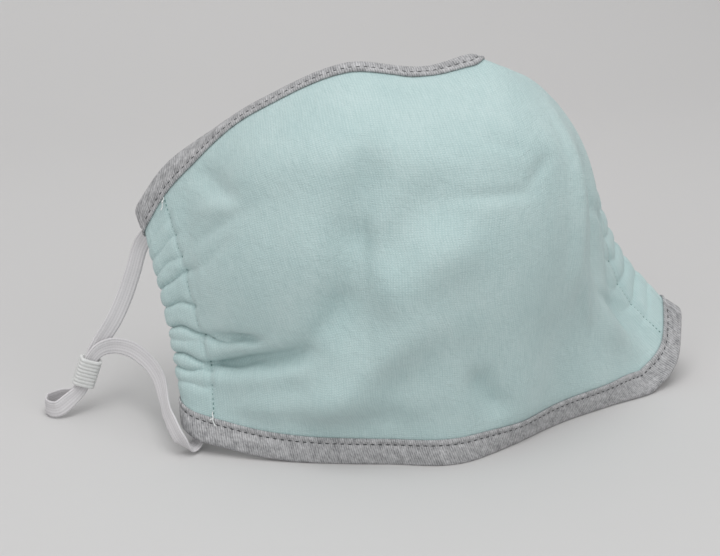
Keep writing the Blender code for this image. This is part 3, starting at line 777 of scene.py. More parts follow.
def add_node(tree: bpy.types.NodeTree, kind: str, links: dict | None = None,
             values: dict | None = None, **settings: object) -> bpy.types.Node:
    """Add a node with its settings and links.

    Args:
        tree: Node tree to add to.
        kind: Type of the node.
        links: Input name or number to the output socket that feeds it.
        values: Input name or number to its own value.
        **settings: The node's properties.

    Returns:
        The new node.
    """
    node = tree.nodes.new(kind)
    for name, value in settings.items():
        setattr(node, name, value)
    for key, value in (values or {}).items():
        node.inputs[key].default_value = value
    for key, socket in (links or {}).items():
        tree.links.new(socket, node.inputs[key])
    return node


def new_material(name: str, values: dict) -> tuple[bpy.types.Material, bpy.types.NodeTree]:
    """Start a material.

    Args:
        name: The material's name.
        values: Its Principled shader's socket names and their even values.

    Returns:
        The material and its node tree.
    """
    material = bpy.data.materials.new(name)
    material.use_nodes = True
    tree = material.node_tree
    for key, value in values.items():
        tree.nodes["Principled BSDF"].inputs[key].default_value = value
    return material, tree


def coat(tree: bpy.types.NodeTree, tone: bpy.types.NodeSocket, codes: tuple[str, ...],
         height: bpy.types.NodeSocket | None = None, strength: float = 0.0,
         relief: float = 0.0) -> None:
    """Colour a material by one pattern and emboss it by another.

    Args:
        tree: The material's node tree.
        tone: Pattern that picks the colour.
        codes: Hex values spread evenly over that pattern's range.
        height: Pattern that raises the surface, if one does.
        strength: Share of the relief that shows.
        relief: Its height in metres.
    """
    shader = tree.nodes["Principled BSDF"]
    colour = add_node(tree, "ShaderNodeValToRGB", {"Fac": tone})
    stops = colour.color_ramp.elements
    stops[0].color, stops[1].color = linear(codes[0]), linear(codes[-1])
    for i, code in enumerate(codes[1:-1], start=1):
        stops.new(i / (len(codes) - 1)).color = linear(code)
    tree.links.new(colour.outputs["Color"], shader.inputs["Base Color"])
    if height:
        bump = add_node(tree, "ShaderNodeBump", {"Height": height},
                        {"Strength": strength, "Distance": relief})
        tree.links.new(bump.outputs["Normal"], shader.inputs["Normal"])


@dataclass(frozen=True)
class JerseyFinish:
    """Single jersey of combed cotton, dyed mint: matt, with fine upright wales, their grooves
    painted darker as shade.
    """

    name: str = "mint_cotton_jersey"
    base: str = "B4CBCB"
    shade: str = "A5BEBF"
    light: str = "C2D5D5"
    wale_mm: float = 0.95      # really 0.7 mm, which is two pixels and wouldn't show
    course_mm: float = 0.75
    relief: float = 0.00016

    def material(self) -> bpy.types.Material:
        """Build the material on the cloth's UV map, whose unit is a millimetre.

        Returns:
            The new material.
        """
        material, tree = new_material(self.name, {
            "Roughness": 0.92, "Sheen Weight": 0.22, "Sheen Roughness": 0.55, "IOR": 1.45,
            "Specular IOR Level": 0.25})
        place = add_node(tree, "ShaderNodeTexCoord").outputs["UV"]
        wales = add_node(tree, "ShaderNodeTexWave", {"Vector": place}, {
            "Scale": WAVE_PERIOD / self.wale_mm, "Distortion": 0.6, "Detail": 2.0,
            "Detail Scale": 2.0}, bands_direction="X").outputs["Fac"]
        courses = add_node(tree, "ShaderNodeTexWave", {"Vector": place}, {
            "Scale": WAVE_PERIOD / self.course_mm, "Distortion": 1.2, "Detail Scale": 3.0},
            bands_direction="Y").outputs["Fac"]
        stretched = add_node(tree, "ShaderNodeMapping", {"Vector": place},
                             {"Scale": (1.3, 0.16, 1.0)}).outputs["Vector"]
        yarn = add_node(tree, "ShaderNodeTexNoise", {"Vector": stretched},
                        {"Scale": 1.0, "Detail": 3.0}).outputs["Fac"]
        fuzz = add_node(tree, "ShaderNodeTexNoise", {"Vector": place},
                        {"Scale": 2.4, "Detail": 4.0, "Roughness": 0.7}).outputs["Fac"]
        cloud = add_node(tree, "ShaderNodeTexNoise", {"Vector": place},
                         {"Scale": 0.05, "Detail": 2.0}).outputs["Fac"]
        # Painted shade: the stitch pattern that raises the bump also darkens the colour in its
        # grooves; yarn, fuzz and cloud add the cloth's own uneven tone.
        stitches = add_node(tree, "ShaderNodeMath", {0: wales, 1: courses},
                            operation="MULTIPLY").outputs[0]
        faint = add_node(tree, "ShaderNodeMath", {0: stitches}, {1: 0.45},
                         operation="MULTIPLY").outputs[0]
        tone = faint
        for pattern, gain in ((yarn, 0.7), (fuzz, 0.8), (cloud, 0.6)):
            tone = add_node(tree, "ShaderNodeMath", {0: pattern, 2: tone}, {1: gain},
                            operation="MULTIPLY_ADD").outputs[0]
        spread = add_node(tree, "ShaderNodeMapRange", {"Value": tone},
                            {"From Min": 0.65, "From Max": 1.55}).outputs["Result"]
        crumple = add_node(tree, "ShaderNodeTexNoise", {"Vector": place},
                           {"Scale": 0.28, "Detail": 5.0, "Roughness": 0.62,
                            "Distortion": 0.6}).outputs["Fac"]
        height = faint
        for pattern, gain in ((fuzz, 1.5), (crumple, 3.6)):
            height = add_node(tree, "ShaderNodeMath", {0: pattern, 2: height}, {1: gain},
                              operation="MULTIPLY_ADD").outputs[0]
        coat(tree, spread, (self.shade, self.base, self.light), height, 0.75, self.relief)
        return material


@dataclass(frozen=True)
class HeatherFinish:
    """Cotton jersey knitted from mixed light and dark fibres: flecked grey, wales across it, with
    painted shade darkening the grooves between the wales.
    """

    name: str = "grey_heather_jersey"
    dark: str = "7C7D7F"
    middle: str = "A6A6A8"
    light: str = "C6C6C8"
    wale_mm: float = 0.85
    relief: float = 0.00018

    def material(self) -> bpy.types.Material:
        """Build the material on the binding's UV map, whose unit is a millimetre.

        Returns:
            The new material.
        """
        material, tree = new_material(self.name, {
            "Roughness": 0.92, "Sheen Weight": 0.20, "Sheen Roughness": 0.5, "IOR": 1.45,
            "Specular IOR Level": 0.25})
        place = add_node(tree, "ShaderNodeTexCoord").outputs["UV"]
        wales = add_node(tree, "ShaderNodeTexWave", {"Vector": place}, {
            "Scale": WAVE_PERIOD / self.wale_mm, "Distortion": 1.0, "Detail": 2.0,
            "Detail Scale": 1.5}, bands_direction="X").outputs["Fac"]
        stretched = add_node(tree, "ShaderNodeMapping", {"Vector": place},
                             {"Scale": (1.35, 0.75, 1.0)}).outputs["Vector"]
        streak = add_node(tree, "ShaderNodeTexNoise", {"Vector": stretched},
                          {"Scale": 1.0, "Detail": 4.0, "Roughness": 0.65}).outputs["Fac"]
        fleck = add_node(tree, "ShaderNodeTexNoise", {"Vector": place},
                         {"Scale": 0.35, "Detail": 3.0}).outputs["Fac"]
        # The wales add painted shade to the grooves between them; streaks and flecks are the yarn's
        # own mixed fibres.
        tone = streak
        for pattern, gain in ((wales, 0.22), (fleck, 0.7)):
            tone = add_node(tree, "ShaderNodeMath", {0: pattern, 2: tone}, {1: gain},
                            operation="MULTIPLY_ADD").outputs[0]
        spread = add_node(tree, "ShaderNodeMapRange", {"Value": tone},
                            {"From Min": 0.68, "From Max": 1.22}).outputs["Result"]
        height = add_node(tree, "ShaderNodeMath", {0: streak, 2: wales}, {1: 0.8},
                          operation="MULTIPLY_ADD").outputs[0]
        coat(tree, spread, (self.dark, self.middle, self.light), height, 0.7, self.relief)
        return material


@dataclass(frozen=True)
class ElasticFinish:
    """Knitted polyester elastic, white: fine cross picks between its cords, a faint sheen, and
    painted shade in darker stripes along the cords and picks.
    """

    name: str = "white_knitted_elastic"
    base: str = "D4D2D4"
    # painted shade: the darker colour of the stripes that stand in for the ribbing's shade
    groove: str = "C3C1C3"
    pick_mm: float = 0.9       # really 0.45 mm, drawn twice as coarse so that it shows
    cord_mm: float = 0.967     # a sixth of the band's width
    relief: float = 0.00010

    def material(self) -> bpy.types.Material:
        """Build the material on the band's UV map, whose unit is a millimetre.

        Returns:
            The new material.
        """
        material, tree = new_material(self.name, {
            "Roughness": 0.75, "Sheen Weight": 0.15, "Sheen Roughness": 0.4, "IOR": 1.5,
            "Specular IOR Level": 0.35})
        place = add_node(tree, "ShaderNodeTexCoord").outputs["UV"]
        picks = add_node(tree, "ShaderNodeTexWave", {"Vector": place}, {
            "Scale": WAVE_PERIOD / self.pick_mm, "Distortion": 1.5, "Detail Scale": 2.0},
            bands_direction="Y").outputs["Fac"]
        fibre = add_node(tree, "ShaderNodeTexNoise", {"Vector": place},
                         {"Scale": 3.0, "Detail": 3.0}).outputs["Fac"]
        tone = add_node(tree, "ShaderNodeMath", {0: picks, 2: fibre}, {1: 0.12},
                        operation="MULTIPLY_ADD").outputs[0]
        # Painted shade: lengthwise stripes, one to a cord, in the darker groove colour.
        cords = add_node(tree, "ShaderNodeTexWave", {"Vector": place}, {
            "Scale": WAVE_PERIOD / self.cord_mm, "Phase Offset": math.pi},
            bands_direction="X").outputs["Fac"]
        ribbed = add_node(tree, "ShaderNodeMath", {0: cords, 2: tone}, {1: 0.45},
                          operation="MULTIPLY_ADD").outputs[0]
        spread = add_node(tree, "ShaderNodeMapRange", {"Value": ribbed},
                            {"From Min": 0.35, "From Max": 0.95}).outputs["Result"]
        coat(tree, spread, (self.groove, self.base), tone, 0.5, self.relief)
        return material


@dataclass(frozen=True)
class SiliconeFinish:
    """Moulded silicone rubber, milky white: light sinks in a little, satin skin."""

    name: str = "white_silicone_rubber"
    base: str = "DEDFDE"
    dust: str = "CFD0CF"

    def material(self) -> bpy.types.Material:
        """Build the material on object coordinates.

        Returns:
            The new material.
        """
        material, tree = new_material(self.name, {
            "Roughness": 0.48, "IOR": 1.41, "Subsurface Weight": 0.25, "Subsurface Scale": 0.0008,
            "Subsurface Radius": (1.0, 1.0, 1.0)})
        place = add_node(tree, "ShaderNodeTexCoord").outputs["Object"]
        grain = add_node(tree, "ShaderNodeTexNoise", {"Vector": place},
                         {"Scale": 900.0, "Detail": 3.0}).outputs["Fac"]
        coat(tree, grain, (self.dust, self.base), grain, 0.15, 0.05 * MM)
        return material


@dataclass(frozen=True)
class ThreadFinish:
    """Spun polyester sewing thread: two plies, painted lighter on their crests and in a darker
    shade in their grooves.
    """

    name: str
    base: str
    shade: str
    ply_mm: float = 0.3

    def material(self) -> bpy.types.Material:
        """Build the material on object coordinates.

        Returns:
            The new material.
        """
        material, tree = new_material(self.name, {"Roughness": 0.8, "Sheen Weight": 0.1})
        place = add_node(tree, "ShaderNodeTexCoord").outputs["Object"]
        # Painted light and shade: the plies' bands both emboss the thread and colour its crests
        # lighter and its grooves darker.
        plies = add_node(tree, "ShaderNodeTexWave", {"Vector": place}, {
            "Scale": WAVE_PERIOD / (self.ply_mm * MM), "Distortion": 0.5},
            bands_direction="DIAGONAL").outputs["Fac"]
        coat(tree, plies, (self.shade, self.base), plies, 0.4, 0.04 * MM)
        return material


@dataclass(frozen=True)
class PaperFinish:
    """Matt white background board, nearly even."""

    name: str = "white_background_board"
    base: str = "CCCBCB"
    shade: str = "C9C8C8"

    def material(self) -> bpy.types.Material:
        """Build the material on object coordinates.

        Returns:
            The new material.
        """
        material, tree = new_material(self.name, {"Roughness": 0.9, "Specular IOR Level": 0.1})
        place = add_node(tree, "ShaderNodeTexCoord").outputs["Object"]
        cloud = add_node(tree, "ShaderNodeTexNoise", {"Vector": place},
                         {"Scale": 2.0, "Detail": 2.0}).outputs["Fac"]
        coat(tree, cloud, (self.shade, self.base))
        return material


def grid_piece(name: str, points: Array, uv: Array, material: bpy.types.Material,
               wall: float = 0.0, offset: float = 0.0, closed: bool = False) -> bpy.types.Object:
    """Make a piece from a grid that is laid over points.

    Args:
        name: The piece's name.
        points: Rows by columns of points.
        uv: Rows by columns of texture places, in millimetres.
        material: Its finish.
        wall: Thickness that Solidify gives it, or 0 for none.
        offset: Solidify's offset.
        closed: Whether the last column meets the first.

    Returns:
        The new object, with its place in its mesh.
    """
    rows, columns = points.shape[:2]
    bm = bmesh.new()
    bmesh.ops.create_grid(bm, x_segments=columns - 1, y_segments=rows - 1, size=1.0)
    layer = bm.loops.layers.uv.new("UVMap")
    places = [(round((v.co.y + 1) / 2 * (rows - 1)), round((v.co.x + 1) / 2 * (columns - 1)))
              for v in bm.verts]
    bm.verts.index_update()
    for face in bm.faces:
        for loop in face.loops:
            loop[layer].uv = uv[places[loop.vert.index]]
    for vert, place in zip(bm.verts, places):
        vert.co = points[place]
    if closed:
        bmesh.ops.remove_doubles(bm, verts=bm.verts, dist=1e-6)
    mesh = bpy.data.meshes.new(name)
    bm.to_mesh(mesh)
    bm.free()
    mesh.shade_smooth()
    mesh.materials.append(material)
    piece = bpy.data.objects.new(name, mesh)
    bpy.context.scene.collection.objects.link(piece)
    if wall:
        shell = piece.modifiers.new("Wall", "SOLIDIFY")
        shell.thickness = wall
        shell.offset = offset
        shell.use_even_offset = False
        shell.use_quality_normals = True
    return piece


def mount_piece(piece: bpy.types.Object, slot: str, *nodes: str) -> bpy.types.Object:
    """Let a piece ride on the mask and stand for its solids.

    Args:
        piece: The piece.
        slot: Not used.
        *nodes: CAD nodes that it stands for.

    Returns:
        The piece.
    """
    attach(piece, "root")
    if nodes:
        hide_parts(*nodes)
    log.info("%s: %d faces", piece.name, len(piece.data.polygons))
    return piece


def close_ends(piece: bpy.types.Object) -> None:
    """Close the open ends of a swept piece, if it has any, and turn its faces outward."""
    bm = bmesh.new()
    bm.from_mesh(piece.data)
    bmesh.ops.holes_fill(bm, edges=[edge for edge in bm.edges if edge.is_boundary])
    bmesh.ops.recalc_face_normals(bm, faces=bm.faces)
    bm.to_mesh(piece.data)
    bm.free()
    piece.data.shade_smooth()


@dataclass
class JerseyPanel:
    """The mint panel, in one sheet with both its casings."""

    form: ClothForm
    rows: int = 150            # between the bindings
    middle: int = 178
    flap_end: float = 1.10     # how far the flap reaches, as a share of the casing
    wall: float = 0.0009
    finish: JerseyFinish = JerseyFinish()

    def build(self) -> bpy.types.Object:
        """Lay the sheet over the form.

        Returns:
            The panel, which stands for its solid.
        """
        p = self.form.pattern
        columns = Columns.over(p.casing_width, self.flap_end, self.middle)
        margins = (p.bound_half + 1.2 * MM, p.binding_width / 2, p.binding_width - 2 * MM)
        heights = [(Edge.FOOT, value) for value in margins]
        heights += [(Edge.OPEN, i / self.rows) for i in range(self.rows + 1)]
        heights += [(Edge.HEAD, value) for value in reversed(margins)]
        grid = np.array([self.form.row(*height).place(columns, 0.0) for height in heights])
        runs = column_runs(self.form, columns)
        lengths = rib_lengths(self.form, columns) / MM
        uv = np.empty((*grid.shape[:2], 2))
        uv[..., 0] = runs
        free = lengths - 2 * p.binding_width / MM
        for i, (edge, value) in enumerate(heights):
            up = {Edge.FOOT: 0 * lengths + value / MM, Edge.HEAD: lengths - value / MM,
                  Edge.OPEN: p.binding_width / MM + value * free}[edge]
            uv[i, :, 1] = up - lengths / 2
        piece = grid_piece("jersey_panel", grid, uv, self.finish.material(), self.wall)
        mount_piece(piece, "mint_jersey", "mask_panel")
        return piece


@dataclass
class BindingStrip:
    """One grey binding, folded round an edge of the panel and stitched down."""

    form: ClothForm
    edge: Edge
    name: str
    node: str
    middle: int = 178
    flap_end: float = 1.12
    wall: float = 0.0007
    channel: float = 0.0020        # from the leaf's edge to its stitch line
    seat: float = 0.00098          # how far the stitch line is off the panel's middle
    edge_radius: float = 0.00165   # of the strip's fold round the panel's edge
    finish: HeatherFinish = HeatherFinish()

    def profile(self) -> list[tuple[float, float]]:
        """Draw the strip's outside from the front leaf's edge to the back's.

        Returns:
            Distance from the bound edge and from the panel's middle, for each point.
        """
        channel, seat = self.channel / MM, self.seat / MM
        leaf = [(0.0, 0.65), (-0.05, 1.05), (0.35, 1.42), (0.95, 1.50), (channel - 0.45, 1.25),
                (channel, seat), (channel + 0.45, 1.20), (3.1, 1.48), (4.6, 1.60), (6.2, 1.62)]
        leaf = [(self.form.pattern.binding_width - below * MM, stand * MM)
                for below, stand in leaf]
        turn = [(self.edge_radius * (1 - math.cos(a)), self.edge_radius * math.sin(a))
                for a in np.linspace(math.radians(75), -math.radians(75), 9)]
        back = [(depth, -stand) for depth, stand in reversed(leaf)]
        return leaf + turn + back

    def columns(self) -> Columns:
        """Columns of the strip."""
        return Columns.over(self.form.pattern.casing_width, self.flap_end, self.middle)

    def build(self) -> bpy.types.Object:
        """Lay the strip round its edge.

        Returns:
            The binding, which stands for its solid.
        """
        columns = self.columns()
        profile = self.profile()
        grid = np.array([self.form.row(self.edge, depth).place(columns, stand)
                         for depth, stand in profile])
        if self.edge is Edge.FOOT:
            grid[..., 2] = np.maximum(grid[..., 2], 0.05 * MM)    # just clear of the floor
        else:
            grid, profile = grid[::-1], profile[::-1]
        uv = np.empty((*grid.shape[:2], 2))
        uv[..., 0] = column_runs(self.form, columns)
        uv[..., 1] = (run_along(np.array(profile)) / MM)[:, None]
        piece = grid_piece(self.name, grid[::-1], uv[::-1], self.finish.material(), self.wall, -1.0)
        return mount_piece(piece, "grey_heather_knit", self.node)


@dataclass
class StitchRun:
    """A row of stitches along one seam, made as one piece."""

    name: str
    finish: ThreadFinish
    slot: str
    pitch: float
    length: float
    width: float

    def build(self, lines: list[tuple[Array, Array]]) -> bpy.types.Object:
        """Set stitches along lines on the cloth.

        Args:
            lines: Points of each line and the cloth's normals there.

        Returns:
            All the stitches as one piece.
        """
        bm = bmesh.new()
        for points, normals in lines:
            run = run_along(points)
            count = max(int(run[-1] / self.pitch), 1)
            for i in range(count):
                at = (i + 0.5) * run[-1] / count
                ends = [np.array([np.interp(at + s * self.length / 2, run, points[:, k])
                                  for k in range(3)]) for s in (-1, 1)]
                normal = Vector([np.interp(at, run, normals[:, k]) for k in range(3)]).normalized()
                along = Vector(ends[1] - ends[0]).normalized()
                beside = normal.cross(along).normalized()
                up = along.cross(beside)
                middle = Vector((ends[0] + ends[1]) / 2)
                axes = Matrix((along, beside, up)).transposed().to_4x4()
                size = Matrix.Diagonal((self.length / 2, self.width / 2, self.width / 2, 1.0))
                bmesh.ops.create_uvsphere(bm, u_segments=6, v_segments=5, radius=1.0,
                                          matrix=Matrix.Translation(middle) @ axes @ size)
        mesh = bpy.data.meshes.new(self.name)
        bm.to_mesh(mesh)
        bm.free()
        mesh.shade_smooth()
        mesh.materials.append(self.finish.material())
        piece = bpy.data.objects.new(self.name, mesh)
        bpy.context.scene.collection.objects.link(piece)
        return mount_piece(piece, self.slot)


@dataclass
class ThreadTails:
    """Back-stitches and loose ends of white thread where a casing's seam meets a binding."""

    form: ClothForm
    edge: Edge
    name: str
    finish: ThreadFinish
    radius: float = 0.00017
    points: int = 40           # along each strand
    facets: int = 7
    mirror: float = 21.0       # the top's tails are the bottom's turned about half this, in mm
    # Each strand's points: mm from the seam, mm from the bound edge, mm off the cloth.
    strands: tuple[tuple[tuple[float, float, float], ...], ...] = (
        ((0.1, 11.6, 0.7), (-0.1, 10.6, 1.0), (0.2, 9.6, 1.8), (0.0, 8.8, 2.0), (0.3, 7.9, 2.1),
         (0.8, 7.2, 2.6)),
        ((-0.2, 10.6, 1.0), (0.2, 9.8, 1.8), (-0.4, 9.1, 2.1), (-1.0, 8.7, 2.5)),
    )

    def knot(self, beside: float, depth: float, stand: float) -> Array:
        """Find a strand's point on the cloth.

        Args:
            beside: Millimetres from the seam.
            depth: Millimetres from the bound edge.
            stand: Millimetres off the cloth.

        Returns:
            The point.
        """
        if self.edge is Edge.HEAD:
            beside, depth = -beside, self.mirror - depth
        seam = Row.STITCH * self.form.pattern.casing_width
        column = Columns.single(Side.NEAR, Layer.FRONT, seam + beside * MM)
        return self.form.row(self.edge, depth * MM).place(column, stand * MM)[0]

    def build(self) -> bpy.types.Object:
        """Sweep each strand with a round section and join them.

        Returns:
            Both strands as one piece.
        """
        turn = np.linspace(0, 2 * math.pi, self.facets + 1)
        sweeps = []
        for strand in self.strands:
            knots = np.array([self.knot(*place) for place in strand])
            run = run_along(knots)
            at = np.linspace(0, run[-1], self.points)
            line = np.stack([curve_through(run, knots[:, k], at) for k in range(3)], -1)
            along = unit(np.gradient(line, axis=0))
            side = unit(np.cross(along, (0.3, -0.8, 0.5)))
            up = np.cross(side, along)
            sweeps.append(line[:, None] + self.radius * (side[:, None] * np.cos(turn)[:, None]
                                                         + up[:, None] * np.sin(turn)[:, None]))
        grid = np.concatenate(sweeps)
        piece = grid_piece(self.name, grid, np.zeros((*grid.shape[:2], 2)),
                           self.finish.material(), closed=True)
        bm = bmesh.new()
        bm.from_mesh(piece.data)
        bridge = [f for f in bm.faces if max(e.calc_length() for e in f.edges) > 2 * MM]
        bmesh.ops.delete(bm, geom=bridge, context="FACES")
        bm.to_mesh(piece.data)
        bm.free()
        close_ends(piece)
        return mount_piece(piece, "mint_jersey")


@dataclass
class Seams:
    """Every seam's stitches, and the thread tails where a casing's seam ends."""

    form: ClothForm
    strips: tuple[BindingStrip, ...]
    casing_stand: float = 0.00047    # how far its stitches are off the panel's middle
    rows: int = 60                   # read up each casing
    grey: ThreadFinish = ThreadFinish("dark_grey_thread", "55585A", "3A3C3E")
    mint: ThreadFinish = ThreadFinish("mint_thread", "6F918E", "587A77")
    white: ThreadFinish = ThreadFinish("white_thread", "EDEFEE", "D2D5D4")

    def line(self, rows: list[Row], columns: Columns, stand: float) -> tuple[Array, Array]:
        """Read a line of points on the cloth.

        Args:
            rows: Rows that it crosses, or the one that it follows.
            columns: Columns that it crosses, or the one that it follows.
            stand: How far it is off the panel's middle.

        Returns:
            The points and the cloth's normals there.
        """
        points = np.concatenate([row.place(columns, stand) for row in rows])
        above = np.concatenate([row.place(columns, stand + 0.2 * MM) for row in rows])
        return points, unit(above - points)

    def bind(self, strip: BindingStrip) -> None:
        """Stitch one binding down on both its leaves, and leave the tails."""
        columns = strip.columns()
        row = self.form.row(strip.edge, self.form.pattern.binding_width - strip.channel)
        flap = columns.layer == Layer.FLAP.value
        front = ~flap & (columns.layer != Layer.FOLD.value)
        lines = []
        for stand in (strip.seat, -strip.seat):
            points, normals = self.line([row], columns, stand)
            lines += [(points[part], normals[part])
                      for part in (flap & columns.near, front, flap & ~columns.near)]
        ThreadTails(self.form, strip.edge, f"{strip.name}_tails", self.white).build()
        StitchRun(f"{strip.name}_stitches", self.grey, "grey_heather_knit",
                  pitch=2.5 * MM, length=1.5 * MM, width=0.58 * MM).build(lines)

    def close(self, side: Side) -> None:
        """Stitch one casing down, on its front and on its flap."""
        seam = Row.STITCH * self.form.pattern.casing_width
        rows = [self.form.row(Edge.OPEN, float(share))
                for share in np.linspace(0.01, 0.99, self.rows)]
        lines = [self.line(rows, Columns.single(side, layer, seam), self.casing_stand)
                 for layer in (Layer.FRONT, Layer.FLAP)]
        StitchRun(f"{side.value}_casing_stitches", self.mint, "mint_jersey",
                  pitch=1.6 * MM, length=1.05 * MM, width=0.44 * MM).build(lines)

    def build(self) -> None:
        """Sew both bindings and both casings."""
        for strip in self.strips:
            self.bind(strip)
        for side in Side:
            self.close(side)


@dataclass
class EarLoop:
    """A flat knitted elastic from inside one mouth of a casing to inside the other."""

    form: ClothForm
    side: Side
    name: str
    node: str
    adjuster: str
    length: float
    ribs: int = 6
    groove: float = 0.32       # depth between two ribs, as a share of half the wall
    facets: int = 56
    stations: int = 420
    stops: tuple[float, ...] = (0.41, 0.34, 0.27, 0.20)    # in the casing, shares of its rib
    finish: ElasticFinish = ElasticFinish()

    def casing_point(self, edge: Edge, stop: Stop) -> tuple[Array, Array, float]:
        """Find the elastic inside its casing or round a bound edge.

        Args:
            edge: The edge that it passes.
            stop: Depth, stand and radius of the arc's centre, and the angle on it in degrees.

        Returns:
            The point, the way the band faces and its share of full width.
        """
        p = self.form.pattern
        depth, stand, reach, angle = stop
        turn = math.radians(angle)
        depth -= reach * math.cos(turn)
        low = max(depth, 0.0)
        away = np.array([p.lines[self.side]])
        point, normal = (a[0] for a in self.form.row(edge, low).read_at(self.side, away))
        above = self.form.row(edge, low + MM).read_at(self.side, away)[0][0]
        outward = unit(point - above)
        point = point + outward * max(-depth, 0.0)
        face = normal * math.sin(turn) + outward * math.cos(turn)
        return point + normal * (stand + reach * math.sin(turn)), face, p.mouth_share

    def inside(self, stand: float, reach: float, angle: float) -> list[Stop]:
        """Stops along a rib inside the casing."""
        rib = float(self.form.length[self.form.stations // 16])
        return [(share * rib, stand, reach, angle) for share in self.stops]

    def flap_stops(self, edge: Edge) -> list[Stop]:
        """Lead the elastic up the casing's hollow and round its flap to behind the mask.

        Args:
            edge: The bound edge that the flap ends at.

        Returns:
            The stops from the hollow outward.
        """
        p = self.form.pattern
        slope = self.form.slopes[self.side][0 if edge is Edge.FOOT else 1]
        mouth = 2 * slope * (p.lines[self.side] - p.elastic_width / 2) + p.bound_half
        stand, reach = -2 * p.fold - p.arch_room, p.fold + p.arch_room
        stops = self.inside(stand, reach, 90) + [(mouth + 3 * MM, stand, reach, 90)]
        stops += [(mouth, stand, reach, angle) for angle in (90, 45, 0, -45, -90)]
        return stops + [(mouth + 4 * MM, stand, reach, -90)]

    def rim_stops(self) -> list[Stop]:
        """Stops down the near casing's hollow to its mouth."""
        p = self.form.pattern
        return self.inside(0.0, p.fold, -90) + [(p.bound_half + rise * MM, 0.0, p.fold, -90)
                                                for rise in (6, 3, 0)]

    def route(self) -> list[tuple[Array, Array, float]]:
        """Lead the whole elastic from inside the casing's lower end to inside its upper end.

        The near one leaves its casing straight down, and the far one half round its flap.

        Returns:
            Each stop's point, the way the band faces there and its share of full width.
        """
        p = self.form.pattern
        near = self.side is Side.NEAR
        start = self.rim_stops() if near else self.flap_stops(Edge.FOOT)[:-3]
        table = NEAR_LOOP if near else FAR_LOOP
        scale = np.array([p.width, p.depth, p.height])
        free = [(np.array(row[:3]) * scale, np.array(row[3:6]), row[6]) for row in table]
        return ([self.casing_point(Edge.FOOT, stop) for stop in start] + free
                + [self.casing_point(Edge.HEAD, stop) for stop in self.flap_stops(Edge.HEAD)[::-1]])

    def section(self) -> Array:
        """The band's outline, sideways and out of its face, as shares of width and wall."""
        side, out = rounded_box(self.facets, 0.55, 0.5)
        cords = np.abs(np.cos(self.ribs * math.pi / 2 * (side + 1))) ** 1.5
        return np.stack([side / 2, out / 2 * (1 - self.groove * cords)], -1)

    def build(self) -> bpy.types.Object:
        """Returns:
            The elastic, which stands for its solid.
        """
        p = self.form.pattern
        route = self.route()
        points = np.array([r[0] for r in route])
        faces = unit(np.array([r[1] for r in route]))
        widths = np.array([r[2] for r in route])
        knots = run_along(points)
        fine = np.linspace(0, knots[-1], 12 * self.stations)
        line = np.stack([curve_through(knots, points[:, k], fine) for k in range(3)], -1)
        run = run_along(line)
        even = np.interp(np.linspace(0, run[-1], self.stations), run, fine)
        line = np.stack([curve_through(knots, points[:, k], even) for k in range(3)], -1)
        face = unit(np.stack([np.interp(even, knots, faces[:, k]) for k in range(3)], -1))
        width = np.interp(even, knots, widths) * p.elastic_width
        along = unit(np.gradient(line, axis=0))
        beside = unit(np.cross(along, face))
        face = np.cross(beside, along)
        line = line + np.array(p.origin)
        section = self.section()
        grid = (line[:, None] + beside[:, None] * (section[None, :, :1] * width[:, None, None])
                + face[:, None] * section[None, :, 1:] * p.elastic_wall)
        uv = np.empty((*grid.shape[:2], 2))
        uv[..., 0] = section[:, 0] * p.elastic_width / MM
        uv[..., 1] = np.linspace(0, run[-1] / MM, self.stations)[:, None]
        piece = grid_piece(self.name, grid, uv, self.finish.material(), closed=True)
        close_ends(piece)
        mount_piece(piece, "white_elastic", self.node)
        return piece


@dataclass
class CordAdjuster:
    """A ribbed silicone sleeve that both strands of a loop pass through."""

    pattern: Pattern
    name: str
    node: str
    place: tuple[float, float, float]     # its middle, as shares of width, depth and height
    axis: tuple[float, float, float]
    face: tuple[float, float, float]
    length: float = 0.0103
    width: float = 0.0076
    height: float = 0.0056
    ribs: int = 8
    rib_height: float = 0.0003
    proud: float = 0.0002      # how far the ribs stand out of the width and height
    lip: float = 0.0007        # from a rib's crest in to the end face's edge
    bore: float = 0.0011       # and in to the bore
    facets: int = 48
    finish: SiliconeFinish = SiliconeFinish()

    def profile(self) -> list[tuple[float, float]]:
        """Draw the sleeve's outside, from one end of the bore to the other.

        Returns:
            Share of the length and how far it stands out of a rib's crest, for each point.
        """
        ribbed = [(share, self.rib_height * (abs(math.sin(math.pi * self.ribs * share)) ** 0.7 - 1))
                  for share in np.linspace(0, 1, 10 * self.ribs + 1)]
        return ([(0.0, -self.bore), (0.0, -self.lip)] + ribbed
                + [(1.0, -self.lip), (1.0, -self.bore)])

    def build(self) -> bpy.types.Object:
        """Sweep the rounded section along the sleeve and back through its bore.

        Returns:
            The sleeve, which stands for its solid.
        """
        p = self.pattern
        centre = np.array(self.place) * (p.width, p.depth, p.height) + np.array(p.origin)
        axis = unit(np.array(self.axis))
        face = unit(np.array(self.face) - axis * float(np.dot(axis, self.face)))
        beside = np.cross(face, axis)
        side, out = rounded_box(self.facets, 0.55, 0.55)
        rings = []
        for share, stand in self.profile():
            reach = stand + self.proud
            middle = centre + axis * self.length * (share - 0.5)
            rings.append(middle + beside * (side * (self.width / 2 + reach))[:, None]
                         + face * (out * (self.height / 2 + reach))[:, None])
        grid = np.array(rings + rings[:1])
        piece = grid_piece(self.name, grid, np.zeros((*grid.shape[:2], 2)),
                           self.finish.material(), closed=True)
        close_ends(piece)
        return mount_piece(piece, "white_silicone", self.node)


